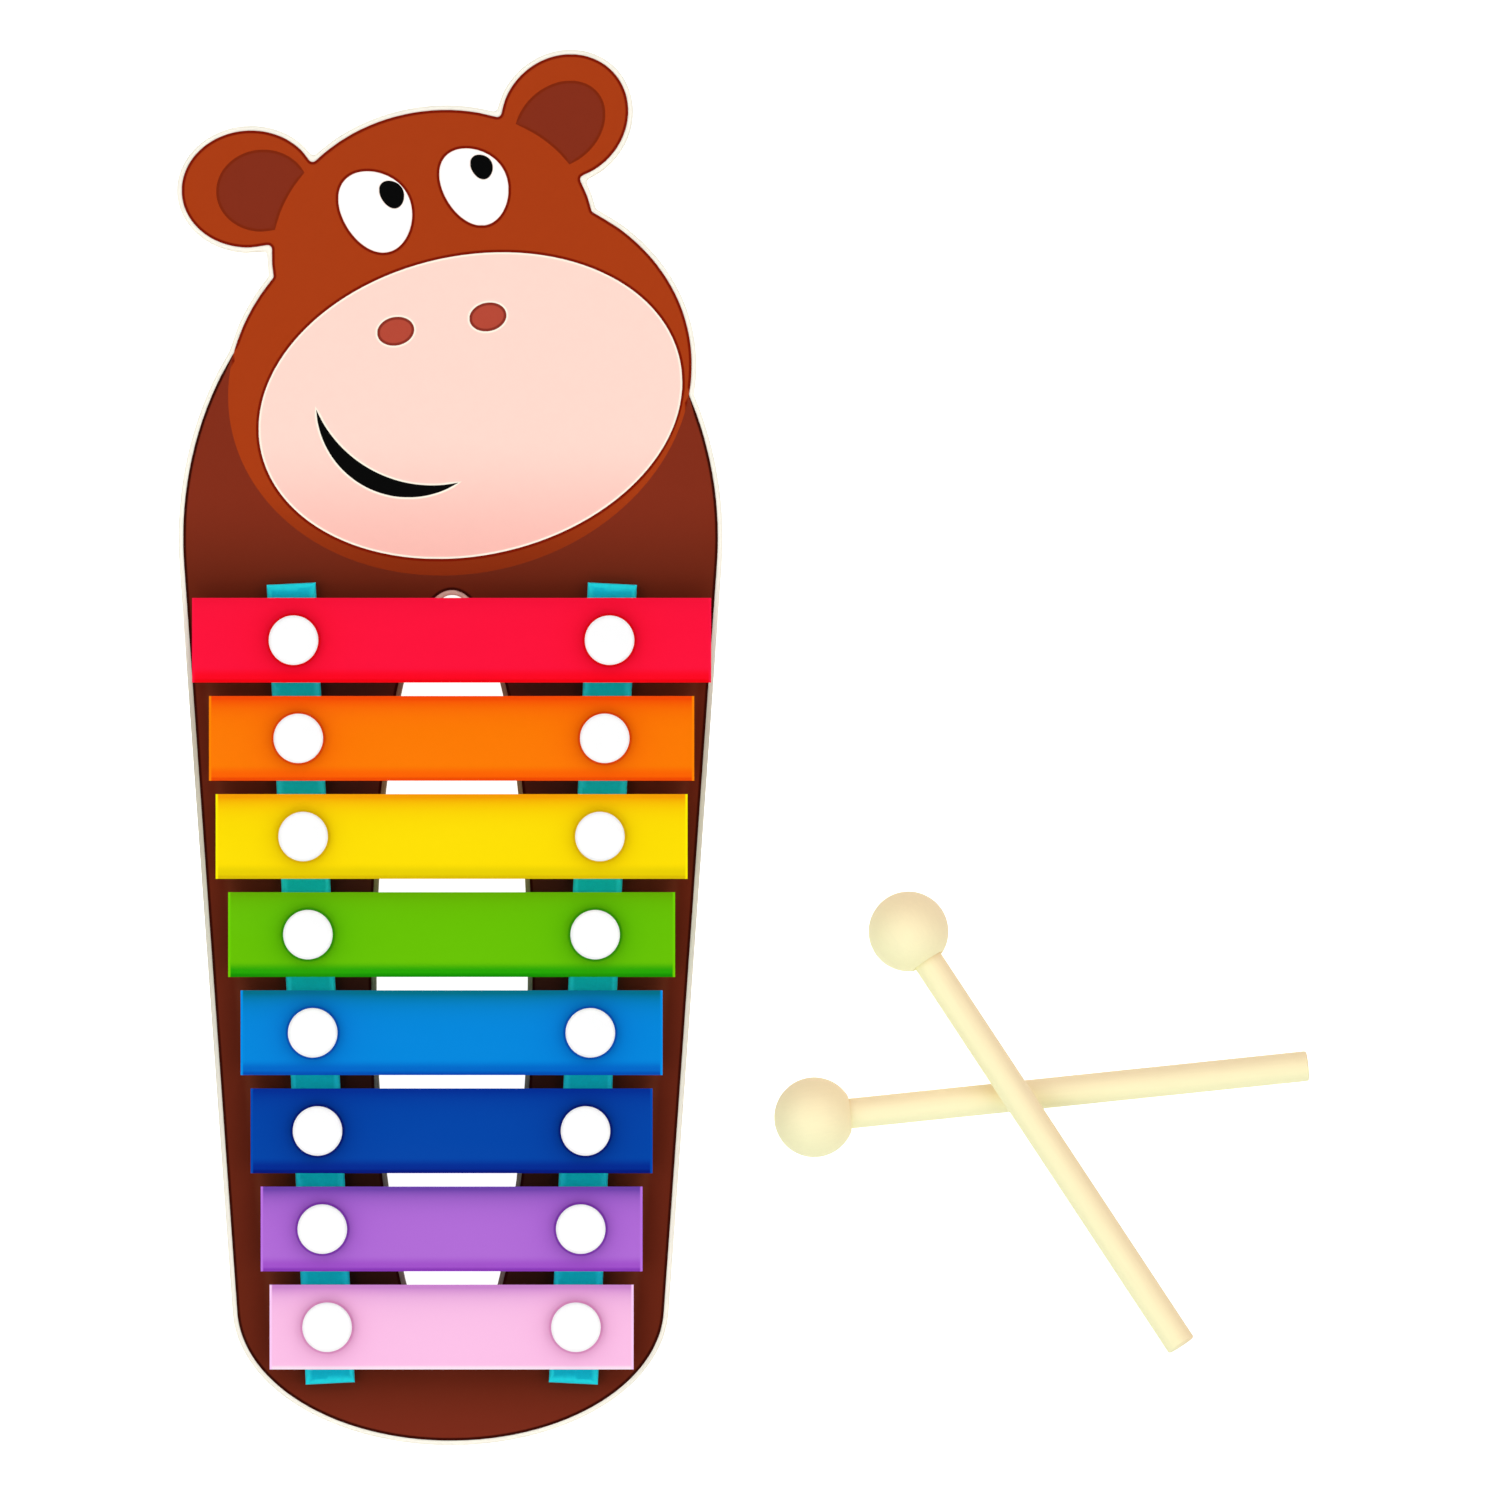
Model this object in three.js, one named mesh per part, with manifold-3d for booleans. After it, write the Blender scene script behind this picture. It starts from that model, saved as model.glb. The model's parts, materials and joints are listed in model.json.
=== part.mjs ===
// Toy xylophone: a flat wooden board cut and printed as a monkey, two soft strips, eight metal
// bars that capped pins hold down with a little play, and two wooden mallets beside it.
// Millimetres. X runs across the board, Y towards the head and Z up from the table. The sizes
// below are measured from the middle of the row of bars, on the board's centre line.

import * as THREE from 'three';
import { mergeVertices } from 'three/addons/utils/BufferGeometryUtils.js';
import Module from 'manifold-3d';

const wasm = await Module();
wasm.setup();

// Driving sizes

const BOARD = {
  thickness: 8,
  rim: 1.1, // the bare rounded edge outside the print, and its radius
  cornerRadius: 1, // the cutter's fillet where two round forms of the outline meet
};

// Every round form is an ellipse of half axes a and b about x, y, turned by its tilt. The body
// is the hull of two of them, and its sides are the straight lines that touch both. What stands
// at the head or tail of the body is placed from the end of the row of bars.
const BODY = {
  shoulders: { x: -0.3, pastRow: 13.5, underHead: 7.7, a: 60 },
  tail: { x: -0.3, insideRow: 14, a: 47.9, b: 30.1 },
  slot: { x: 0, y: 1.2, insideRow: 0.5, a: 17 },
};

// The head is drawn upright about the middle of the cheeks, and then tilted and placed.
const HEAD = {
  x: 1.8,
  chin: 5.5, // from the row of bars to the cheeks
  tiltDegrees: 12.4,
};
const CHEEKS = { a: 52.4, b: 43.3 };
const CRANIUM = { x: 0.6, rise: 17.7, a: 36.4, b: 30 }; // it rises over the cheeks

// An ear stands off the cranium's edge where that faces the given way, and its dark inner
// part is set in from it by a rim on each side. So is the muzzle from the cheeks.
const EARS = {
  left: { facingDegrees: 142.6, standOff: 8.45, a: 15.2, b: 13.1, tiltDegrees: -7.8 },
  right: { facingDegrees: 40.45, standOff: 6.85, a: 14.9, b: 13.5, tiltDegrees: 28.8 },
};
const EAR_RIMS = {
  left: { left: 7.7, right: 1.9, top: 4.5, bottom: 3.3 },
  right: { left: 1.8, right: 5.6, top: 5.3, bottom: 4.1 },
};
const MUZZLE_RIM = { left: 5.4, right: 3.2, top: 15.7, bottom: 3.7 };

// An eye stands over the top of the muzzle, and a nostril hangs under it. Eyes and pupils are
// eggs: ellipses drawn out along one of their long sides, by a share of their length.
const EGG_SHARE = 0.14;
const EYES = {
  left: { x: -10, overMuzzle: 13.8, a: 9.6, b: 7.7, tiltDegrees: 109.8 },
  right: { x: 12.8, overMuzzle: 14.5, a: 9.1, b: 7.2, tiltDegrees: 109.1 },
};
const PUPILS = {
  left: { along: 1.2, lid: 0.2, a: 3.3, b: 2.6 },
  right: { along: 2.8, lid: 1, a: 2.9, b: 2.4 },
};
const NOSTRILS = {
  left: { x: -11.7, underTop: 13.7, a: 4.2, b: 3.2 },
  right: { x: 9.2, underTop: 15, a: 4.2, b: 3.2 },
};

// The smile is a crescent: two arcs through the same two tips, which are measured from the
// middle of the muzzle.
const MOUTH = {
  leftTip: { x: -34, y: 6.6 },
  rightTip: { x: -6.3, y: -16.3 },
  depth: 10.4, // of its lower edge under the line from tip to tip
  thickness: 4,
};

const PRINT = {
  thickness: 0.2,
  cornerRadius: 1,
};

// Bars from the head downwards, each shorter and higher in note than the one before.
const BAR = { width: 19, gap: 3, thickness: 2.5, edge: 0.5 };
const BARS = {
  red: { length: 116.4, colour: 0xfe113b },
  orange: { length: 108.8, colour: 0xfd7b01 },
  yellow: { length: 105.8, colour: 0xfee001 },
  green: { length: 100.2, colour: 0x68c302 },
  light_blue: { length: 94.6, colour: 0x0288dd },
  dark_blue: { length: 90.1, colour: 0x0145a8 },
  purple: { length: 85.6, colour: 0xb26dd8 },
  pink: { length: 81.6, colour: 0xfdc2e9 },
};

// The strips converge towards the tail, so that they cross each bar near its quiet points.
const STRIP = {
  width: 11,
  thickness: 3,
  spread: 31.65, // from the centre line to the strip's, halfway along the row
  overhang: 3.2, // past the outer edge of the first and last bar
  tiltDegrees: 2.8,
};

const PIN = {
  stemRadius: 1.5,
  stemLength: 5.5,
  shoulderRadius: 2.3,
  capRadius: 5.55,
  capEdge: 1.4, // the straight side of the cap, under its dome
  domeHeight: 1,
  play: 0.8, // how far a bar can rise before it meets the cap
};

const CLEARANCE = {
  stem: 0.2, // round the stem in the board
  stemEnd: 0.5, // under the stem in the board
  strip: 0.25, // round the shoulder in the strip
  bar: 0.4, // round the shoulder in the bar
  stick: 0.25, // round the stick in the mallet's head, and past its end
  crossing: 0.3, // between the two sticks where they cross
};

const MALLET = {
  ballRadius: 9,
  stickRadius: 3.4,
  reach: 111.6, // from the middle of the ball to the end of the stick
  socketDepth: 3, // how far the stick goes past the middle of the ball
  tipChamfer: 0.4,
};
const LOWER_MALLET = { x: 81.3, y: -30, headingDegrees: 5.9 };
const UPPER_MALLET = { x: 102.5, y: 11.7, headingDegrees: -56.6 };

// How finely round things are divided
const CHORD_SAG = 0.05; // how far a chord may lie inside a curve of the outlines
const RIM_STEPS = 2;
const HOLE_SIDES = 12;
const PIN_SIDES = 16;
const DOME_STEPS = 2;
const BALL_SIDES = 20;
const BALL_STEPS = 9;
const STICK_SIDES = 16;

// Heights

const boardTop = BOARD.thickness;
const printTop = boardTop + PRINT.thickness;
const stripTop = printTop + STRIP.thickness;
const barTop = stripTop + BAR.thickness;
const capUnderside = barTop + PIN.play;

// The row of bars, and the two pins of each

const bars = Object.entries(BARS).map(([name, bar]) => ({ name: `${name}_bar`, ...bar }));
const pitch = BAR.width + BAR.gap;
const rowEnd = (bars.length * pitch - BAR.gap) / 2;

const SIDES = [
  { name: 'left', sign: -1 },
  { name: 'right', sign: 1 },
];

function barPlace(index) {
  return pitch * ((bars.length - 1) / 2 - index);
}

function stripPlace(side, y) {
  return side * (STRIP.spread + y * Math.tan(tiltOf(STRIP)));
}

// Round forms. A point of an ellipse's edge is found from the direction in which the edge
// faces there, so an ellipse grown by a distance is exact, and its points match the first's.

const radians = THREE.MathUtils.degToRad;
const ORIGIN = new THREE.Vector2();
const FULL_TURN = 2 * Math.PI;
const HALF_TURN = Math.PI;
const QUARTER_TURN = Math.PI / 2;

function tiltOf(form) {
  return radians(form.tiltDegrees ?? 0);
}

function reach(form, angle) {
  const local = angle - tiltOf(form);
  return Math.hypot(form.a * Math.cos(local), form.b * Math.sin(local));
}

function edgePoint(form, angle, grow) {
  const local = angle - tiltOf(form);
  const distance = reach(form, angle);
  const point = new THREE.Vector2(
    (form.a ** 2 / distance + grow) * Math.cos(local),
    (form.b ** 2 / distance + grow) * Math.sin(local),
  );
  return point.rotateAround(ORIGIN, tiltOf(form)).add(form);
}

function bendRadius(form, angle, grow) {
  return (form.a * form.b) ** 2 / reach(form, angle) ** 3 + grow;
}

function chordAngle(radius) {
  return Math.sqrt((8 * CHORD_SAG) / radius);
}

// The edge from one facing angle anticlockwise to another, both ends included.
function edgeArc(form, from, to, grow = 0) {
  let end = to;
  while (end < from) end += FULL_TURN;
  const points = [];
  let angle = from;
  let step = chordAngle(bendRadius(form, angle, grow));
  while (end - angle > 1.5 * step) {
    points.push(edgePoint(form, angle, grow));
    angle += step;
    step = chordAngle(bendRadius(form, angle, grow));
  }
  points.push(edgePoint(form, angle, grow));
  points.push(edgePoint(form, end, grow));
  return points;
}

function egg(form) {
  const steps = Math.ceil(FULL_TURN / chordAngle(form.a));
  const points = [];
  for (let step = 0; step < steps; step += 1) {
    const angle = (step * FULL_TURN) / steps;
    const drawn = form.a * (1 + form.eggShare * Math.sin(angle));
    const point = new THREE.Vector2(drawn * Math.cos(angle), form.b * Math.sin(angle));
    points.push(point.rotateAround(ORIGIN, tiltOf(form)).add(form));
  }
  return points;
}

function ring(form, grow = 0) {
  return form.eggShare ? egg(form) : edgeArc(form, 0, FULL_TURN, grow).slice(0, -1);
}

function holds(form, point, grow) {
  const local = point.clone().sub(form).rotateAround(ORIGIN, -tiltOf(form));
  return Math.hypot(local.x / (form.a + grow), local.y / (form.b + grow)) < 1;
}

// The facing angle, to a degree, at which a form's edge passes into or out of another form.
function passage(form, other, inwards, grow) {
  for (let degrees = 0; degrees < 360; degrees += 1) {
    const before = holds(other, edgePoint(form, radians(degrees), grow), grow);
    const after = holds(other, edgePoint(form, radians(degrees + 1), grow), grow);
    if (before !== after && after === inwards) return radians(degrees);
  }
  throw new Error('two forms of the outline do not cross');
}

// Where the first form's edge, walked anticlockwise, runs into the second's: the facing
// angle of each there, found by Newton's method, and the point.
function meeting(first, second, grow) {
  let leave = passage(first, second, true, grow);
  let arrive = passage(second, first, false, grow);
  for (let round = 0; round < 12; round += 1) {
    const miss = edgePoint(second, arrive, grow).sub(edgePoint(first, leave, grow));
    const sine = Math.sin(leave - arrive);
    const alongFirst = (miss.x * Math.cos(arrive) + miss.y * Math.sin(arrive)) / -sine;
    const alongSecond = (miss.x * Math.cos(leave) + miss.y * Math.sin(leave)) / -sine;
    leave += alongFirst / bendRadius(first, leave, grow);
    arrive += alongSecond / bendRadius(second, arrive, grow);
  }
  return { leave, arrive, point: edgePoint(first, leave, grow) };
}

// A fillet in the corner where two forms meet. Its centre stands off both edges by its radius.
function fillet(first, second, grow, radius) {
  const corner = meeting(first, second, grow + radius);
  const turn = corner.leave - corner.arrive;
  const sweep = turn - FULL_TURN * Math.round(turn / FULL_TURN);
  const steps = Math.max(2, Math.ceil(Math.abs(sweep) / chordAngle(radius)));
  const arc = [];
  for (let step = 1; step < steps; step += 1) {
    const angle = corner.leave + HALF_TURN - (sweep * step) / steps;
    const spoke = new THREE.Vector2(Math.cos(angle), Math.sin(angle)).multiplyScalar(radius);
    arc.push(corner.point.clone().add(spoke));
  }
  return { ...corner, arc };
}

// The outline's edge along a row of forms, each running into the next through a fillet.
function edgePath(forms, from, to, grow, radius) {
  const points = [];
  let start = from;
  for (let index = 0; index + 1 < forms.length; index += 1) {
    const corner = fillet(forms[index], forms[index + 1], grow, radius);
    points.push(...edgeArc(forms[index], start, corner.leave, grow), ...corner.arc);
    start = corner.arrive;
  }
  return [...points, ...edgeArc(forms.at(-1), start, to, grow)];
}

// The forms of the board

function inset(form, rims) {
  const shift = new THREE.Vector2(rims.left - rims.right, rims.bottom - rims.top);
  shift.multiplyScalar(1 / 2).rotateAround(ORIGIN, tiltOf(form));
  return {
    ...form,
    x: form.x + shift.x,
    y: form.y + shift.y,
    a: form.a - (rims.left + rims.right) / 2,
    b: form.b - (rims.top + rims.bottom) / 2,
  };
}

// A pupil lies along from the middle of its eye, with a lid's width to the eye's long side.
function pupilIn(eye, pupil) {
  const side = eye.b * Math.sqrt(1 - (pupil.along / eye.a) ** 2);
  const place = new THREE.Vector2(pupil.along, pupil.lid + pupil.b - side);
  place.rotateAround(ORIGIN, tiltOf(eye)).add(eye);
  return { ...eye, ...pupil, x: place.x, y: place.y };
}

function uprightFace() {
  const cheeks = { ...CHEEKS, x: 0, y: 0 };
  const cranium = { ...CRANIUM, y: CHEEKS.b + CRANIUM.rise - CRANIUM.b };
  const muzzle = inset(cheeks, MUZZLE_RIM);
  const muzzleTop = muzzle.y + muzzle.b;
  const forms = { cheeks, cranium, muzzle };
  for (const { name } of SIDES) {
    const { facingDegrees, standOff, ...size } = EARS[name];
    const ear = { ...size, ...edgePoint(cranium, radians(facingDegrees), standOff) };
    const eye = { ...EYES[name], y: muzzleTop + EYES[name].overMuzzle, eggShare: EGG_SHARE };
    forms[`${name}Ear`] = ear;
    forms[`${name}InnerEar`] = inset(ear, EAR_RIMS[name]);
    forms[`${name}Eye`] = eye;
    forms[`${name}Pupil`] = pupilIn(eye, PUPILS[name]);
    forms[`${name}Nostril`] = { ...NOSTRILS[name], y: muzzleTop - NOSTRILS[name].underTop };
  }
  return forms;
}

const headPlace = new THREE.Vector2(HEAD.x, rowEnd + HEAD.chin + CHEEKS.b);

function onHead(form) {
  const place = new THREE.Vector2(form.x, form.y).rotateAround(ORIGIN, tiltOf(HEAD)).add(headPlace);
  const tiltDegrees = HEAD.tiltDegrees + (form.tiltDegrees ?? 0);
  return { ...form, x: place.x, y: place.y, tiltDegrees };
}

function bodyForms() {
  const { shoulders, tail, slot } = BODY;
  const shouldersY = rowEnd + shoulders.pastRow;
  const shouldersTop = headPlace.y + CHEEKS.b - shoulders.underHead;
  return {
    shoulders: { ...shoulders, y: shouldersY, b: shouldersTop - shouldersY },
    tail: { ...tail, y: tail.insideRow - rowEnd },
    slot: { ...slot, b: rowEnd - slot.insideRow },
  };
}

const face = {};
for (const [name, form] of Object.entries(uprightFace())) face[name] = onHead(form);
const body = bodyForms();

// The angle at which one straight side touches both the shoulders and the tail.
function sideAngle() {
  let low = -QUARTER_TURN;
  let high = 0;
  while (high - low > 1e-12) {
    const angle = (low + high) / 2;
    const above = reach(body.shoulders, angle) + body.shoulders.y * Math.sin(angle);
    const below = reach(body.tail, angle) + body.tail.y * Math.sin(angle);
    if (above > below) high = angle;
    else low = angle;
  }
  return high;
}

// The board's outline in two parts: the crown runs over the head from neck to neck, and the
// flanks run down one side of the body, round the tail and up the other side.
function outline(grow, radius) {
  const { cheeks, cranium, leftEar, rightEar } = face;
  const { shoulders, tail } = body;
  const rightNeck = fillet(shoulders, cheeks, grow, radius);
  const leftNeck = fillet(cheeks, shoulders, grow, radius);
  const overHead = [cheeks, cranium, rightEar, cranium, leftEar, cranium, cheeks];
  const side = sideAngle();
  return {
    crown: edgePath(overHead, rightNeck.arrive, leftNeck.leave, grow, radius),
    flanks: [
      ...leftNeck.arc,
      ...edgeArc(shoulders, leftNeck.arrive, HALF_TURN - side, grow),
      ...edgeArc(tail, HALF_TURN - side, side, grow),
      ...edgeArc(shoulders, side, rightNeck.leave, grow),
      ...rightNeck.arc,
    ],
    necks: [leftNeck.leave, rightNeck.arrive],
  };
}

// Pieces

function material(colour, roughness, metalness = 0) {
  return new THREE.MeshStandardMaterial({ color: colour, roughness, metalness });
}

function piece(name, geometry, finish, height = 0) {
  const mesh = new THREE.Mesh(geometry, finish);
  mesh.name = name;
  mesh.position.z = height;
  return mesh;
}

function plate(points, holes, depth) {
  const shape = new THREE.Shape(points);
  shape.holes = holes.map((hole) => new THREE.Path(hole));
  return new THREE.ExtrudeGeometry(shape, { depth, bevelEnabled: false });
}

// A plate whose edges and holes are rounded or chamfered inside its own size.
function easedPlate(points, holes, depth, edge, steps) {
  const shape = new THREE.Shape(points);
  shape.holes = holes.map((hole) => new THREE.Path(hole));
  const geometry = new THREE.ExtrudeGeometry(shape, {
    depth: depth - 2 * edge,
    bevelThickness: edge,
    bevelSize: edge,
    bevelOffset: -edge,
    bevelSegments: steps,
  });
  return geometry.translate(0, 0, edge);
}

function circle(x, y, radius) {
  const points = [];
  for (let side = 0; side < HOLE_SIDES; side += 1) {
    const angle = (side * FULL_TURN) / HOLE_SIDES;
    points.push(new THREE.Vector2(x + radius * Math.cos(angle), y + radius * Math.sin(angle)));
  }
  return points;
}

function turned(profile, sides) {
  return new THREE.LatheGeometry(profile.map(([r, y]) => new THREE.Vector2(r, y)), sides);
}

function toSolid(geometry) {
  geometry.deleteAttribute('normal');
  geometry.deleteAttribute('uv');
  const merged = mergeVertices(geometry);
  return new wasm.Manifold(new wasm.Mesh({
    numProp: 3,
    vertProperties: merged.attributes.position.array,
    triVerts: new Uint32Array(merged.index.array),
  }));
}

function toGeometry(solid) {
  const mesh = solid.getMesh();
  const geometry = new THREE.BufferGeometry();
  geometry.setAttribute('position', new THREE.BufferAttribute(mesh.vertProperties, 3));
  geometry.setIndex(new THREE.BufferAttribute(mesh.triVerts, 1));
  geometry.computeVertexNormals();
  return geometry;
}

const pinPlaces = bars.flatMap((bar, index) => SIDES.map((side) => ({
  name: `${bar.name}_${side.name}_pin`,
  side,
  x: stripPlace(side.sign, barPlace(index)),
  y: barPlace(index),
})));

// The board and what is printed on it

function makeBoard() {
  const { crown, flanks } = outline(BOARD.rim, BOARD.cornerRadius);
  const holes = [ring(body.slot)];
  const geometry = easedPlate([...crown, ...flanks], holes, BOARD.thickness, BOARD.rim, RIM_STEPS);
  const depth = PIN.stemLength + CLEARANCE.stemEnd - PRINT.thickness;
  const overrun = PRINT.thickness;
  let solid = toSolid(geometry);
  for (const pin of pinPlaces) {
    const bore = plate(circle(pin.x, pin.y, PIN.stemRadius + CLEARANCE.stem), [], depth + overrun);
    solid = solid.subtract(toSolid(bore.translate(0, 0, boardTop - depth)));
  }
  return piece('board', toGeometry(solid), material(0xf3e6c8, 0.6));
}

function innerEar(form) {
  const into = meeting(form, face.cranium, 0);
  const out = meeting(face.cranium, form, 0);
  const round = edgeArc(form, out.arrive, into.leave);
  const clipped = edgeArc(face.cranium, out.leave, into.arrive);
  return [...round, ...clipped.reverse().slice(1, -1)];
}

function tipArc(from, to, depth) {
  const chord = to.clone().sub(from);
  const half = chord.length() / 2;
  const radius = (half ** 2 + depth ** 2) / (2 * depth);
  const rise = new THREE.Vector2(-chord.y, chord.x).normalize();
  const centre = from.clone().add(to).multiplyScalar(1 / 2).addScaledVector(rise, radius - depth);
  const start = from.clone().sub(centre).angle();
  const sweep = 2 * Math.asin(half / radius);
  const steps = Math.ceil(sweep / chordAngle(radius));
  const points = [];
  for (let step = 0; step <= steps; step += 1) {
    const angle = start + (sweep * step) / steps;
    points.push(new THREE.Vector2(Math.cos(angle), Math.sin(angle)).multiplyScalar(radius).add(centre));
  }
  return points;
}

function mouthTip(tip) {
  return new THREE.Vector2(tip.x, tip.y).rotateAround(ORIGIN, tiltOf(HEAD)).add(face.muzzle);
}

function mouth() {
  const from = mouthTip(MOUTH.leftTip);
  const to = mouthTip(MOUTH.rightTip);
  const lower = tipArc(from, to, MOUTH.depth);
  const upper = tipArc(from, to, MOUTH.depth - MOUTH.thickness);
  return [...lower, ...upper.reverse().slice(1, -1)];
}

function makePrint() {
  const { crown, flanks, necks } = outline(0, PRINT.cornerRadius);
  const seam = edgeArc(face.cheeks, ...necks);
  const rings = Object.fromEntries(Object.entries(face).map(([name, form]) => [name, ring(form)]));
  const ears = { left: innerEar(face.leftInnerEar), right: innerEar(face.rightInnerEar) };
  const smile = mouth();
  const bores = pinPlaces.map((pin) => circle(pin.x, pin.y, PIN.stemRadius + CLEARANCE.stem));
  const belly = [...flanks, ...seam.toReversed()];
  const skull = [...crown, ...seam.slice(1, -1)];
  const onSkull = [rings.muzzle, rings.leftEye, rings.rightEye, ears.left, ears.right];
  const fields = [
    ['body', belly, [ring(body.slot, BOARD.rim), ...bores], 0x7c2c19],
    ['head', skull, onSkull, 0xa93c13],
    ['left_ear', ears.left, [], 0x832e1a],
    ['right_ear', ears.right, [], 0x832e1a],
    ['muzzle', rings.muzzle, [rings.leftNostril, rings.rightNostril, smile], 0xffd9cc],
    ['left_nostril', rings.leftNostril, [], 0xb54937],
    ['right_nostril', rings.rightNostril, [], 0xb54937],
    ['mouth', smile, [], 0x060606],
    ['left_eye', rings.leftEye, [rings.leftPupil], 0xffffff],
    ['right_eye', rings.rightEye, [rings.rightPupil], 0xffffff],
    ['left_pupil', rings.leftPupil, [], 0x060606],
    ['right_pupil', rings.rightPupil, [], 0x060606],
  ];
  return fields.map(([name, points, holes, colour]) => {
    const geometry = plate(points, holes, PRINT.thickness);
    return piece(`${name}_print`, geometry, material(colour, 0.45), boardTop);
  });
}

// What lies on the board

function makeStrip(side) {
  const end = rowEnd + STRIP.overhang;
  const tilt = side.sign * tiltOf(STRIP);
  const across = new THREE.Vector2(Math.cos(tilt), -Math.sin(tilt)).multiplyScalar(STRIP.width / 2);
  const head = new THREE.Vector2(stripPlace(side.sign, end), end);
  const tail = new THREE.Vector2(stripPlace(side.sign, -end), -end);
  const corners = [
    tail.clone().add(across),
    head.clone().add(across),
    head.clone().sub(across),
    tail.clone().sub(across),
  ];
  const holes = pinPlaces
    .filter((pin) => pin.side === side)
    .map((pin) => circle(pin.x, pin.y, PIN.shoulderRadius + CLEARANCE.strip));
  const geometry = plate(corners, holes, STRIP.thickness);
  return piece(`${side.name}_strip`, geometry, material(0x0c9cac, 0.95), printTop);
}

function makeBar(bar, index) {
  const x = bar.length / 2;
  const y = BAR.width / 2;
  const middle = barPlace(index);
  const corners = [
    new THREE.Vector2(-x, middle - y),
    new THREE.Vector2(x, middle - y),
    new THREE.Vector2(x, middle + y),
    new THREE.Vector2(-x, middle + y),
  ];
  const holes = pinPlaces
    .filter((pin) => pin.y === middle)
    .map((pin) => circle(pin.x, pin.y, PIN.shoulderRadius + CLEARANCE.bar));
  const geometry = easedPlate(corners, holes, BAR.thickness, BAR.edge, 1);
  return piece(bar.name, geometry, material(bar.colour, 0.3, 0.2), stripTop);
}

// The shoulder seats on the print, and the cap overhangs the hole in the bar.
function makePin(pin) {
  const underside = capUnderside - printTop;
  const edgeTop = underside + PIN.capEdge;
  const profile = [
    [0, -PIN.stemLength],
    [PIN.stemRadius, -PIN.stemLength],
    [PIN.stemRadius, 0],
    [PIN.shoulderRadius, 0],
    [PIN.shoulderRadius, underside],
    [PIN.capRadius, underside],
  ];
  for (let step = 0; step <= DOME_STEPS; step += 1) {
    const angle = (step / DOME_STEPS) * QUARTER_TURN;
    const rise = PIN.domeHeight * Math.sin(angle);
    profile.push([step === DOME_STEPS ? 0 : PIN.capRadius * Math.cos(angle), edgeTop + rise]);
  }
  const geometry = turned(profile, PIN_SIDES).rotateX(QUARTER_TURN);
  const mesh = piece(pin.name, geometry, material(0xffffff, 0.35), printTop);
  mesh.position.x = pin.x;
  mesh.position.y = pin.y;
  return mesh;
}

// A mallet is turned about its own +Y: the ball's middle is at zero and the stick's end at
// its reach. It is laid with the ball on the table and its stick at the given rise.

function ballProfile() {
  const socketRadius = MALLET.stickRadius + CLEARANCE.stick;
  const socketEnd = -MALLET.socketDepth - CLEARANCE.stick;
  const mouthAngle = Math.acos(socketRadius / MALLET.ballRadius);
  const profile = [];
  for (let step = 0; step <= BALL_STEPS; step += 1) {
    const angle = -QUARTER_TURN + ((mouthAngle + QUARTER_TURN) * step) / BALL_STEPS;
    const radius = step === 0 ? 0 : MALLET.ballRadius * Math.cos(angle);
    profile.push([radius, MALLET.ballRadius * Math.sin(angle)]);
  }
  return [...profile, [socketRadius, socketEnd], [0, socketEnd]];
}

function stickProfile() {
  const { stickRadius, tipChamfer, socketDepth } = MALLET;
  return [
    [0, -socketDepth],
    [stickRadius, -socketDepth],
    [stickRadius, MALLET.reach - tipChamfer],
    [stickRadius - tipChamfer, MALLET.reach],
    [0, MALLET.reach],
  ];
}

function heading(place) {
  return new THREE.Vector2(1, 0).rotateAround(ORIGIN, radians(place.headingDegrees));
}

function makeMallet(name, place, slope) {
  const plan = heading(place).multiplyScalar(Math.cos(slope));
  const axis = new THREE.Vector3(plan.x, plan.y, Math.sin(slope));
  const group = new THREE.Group();
  group.position.set(place.x, place.y, MALLET.ballRadius);
  group.quaternion.setFromUnitVectors(new THREE.Vector3(0, 1, 0), axis);
  group.add(piece(`${name}_head`, turned(ballProfile(), BALL_SIDES), material(0xfef0c4, 0.55)));
  group.add(piece(`${name}_stick`, turned(stickProfile(), STICK_SIDES), material(0xfdeebe, 0.6)));
  return group;
}

// The distances in plan from each ball's middle to the point where the sticks cross.
function crossing() {
  const apart = new THREE.Vector2(UPPER_MALLET.x - LOWER_MALLET.x, UPPER_MALLET.y - LOWER_MALLET.y);
  const lower = heading(LOWER_MALLET);
  const upper = heading(UPPER_MALLET);
  const sine = lower.cross(upper);
  return { alongLower: apart.cross(upper) / sine, alongUpper: apart.cross(lower) / sine };
}

// The lower mallet lies on the table, and the upper one leans on its stick.
function makeMallets() {
  const drop = MALLET.ballRadius - MALLET.stickRadius;
  const lowerSlope = -Math.asin(drop / MALLET.reach);
  const { alongLower, alongUpper } = crossing();
  const lowerAxis = MALLET.ballRadius + alongLower * Math.tan(lowerSlope);
  const upperAxis = lowerAxis + 2 * MALLET.stickRadius + CLEARANCE.crossing;
  const upperSlope = Math.atan((upperAxis - MALLET.ballRadius) / alongUpper);
  return [
    makeMallet('lower_mallet', LOWER_MALLET, lowerSlope),
    makeMallet('upper_mallet', UPPER_MALLET, upperSlope),
  ];
}

// The assembly stands on the table, with its origin under the middle of its own box.

const assembly = new THREE.Group();
assembly.add(makeBoard(), ...makePrint());
assembly.add(...SIDES.map(makeStrip), ...bars.map(makeBar), ...pinPlaces.map(makePin));
assembly.add(...makeMallets());

const box = new THREE.Box3().setFromObject(assembly, true);
const centre = box.getCenter(new THREE.Vector3());
assembly.position.set(-centre.x, -centre.y, 0);

const xylophone = new THREE.Group();
xylophone.add(assembly);

export default xylophone;
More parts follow.
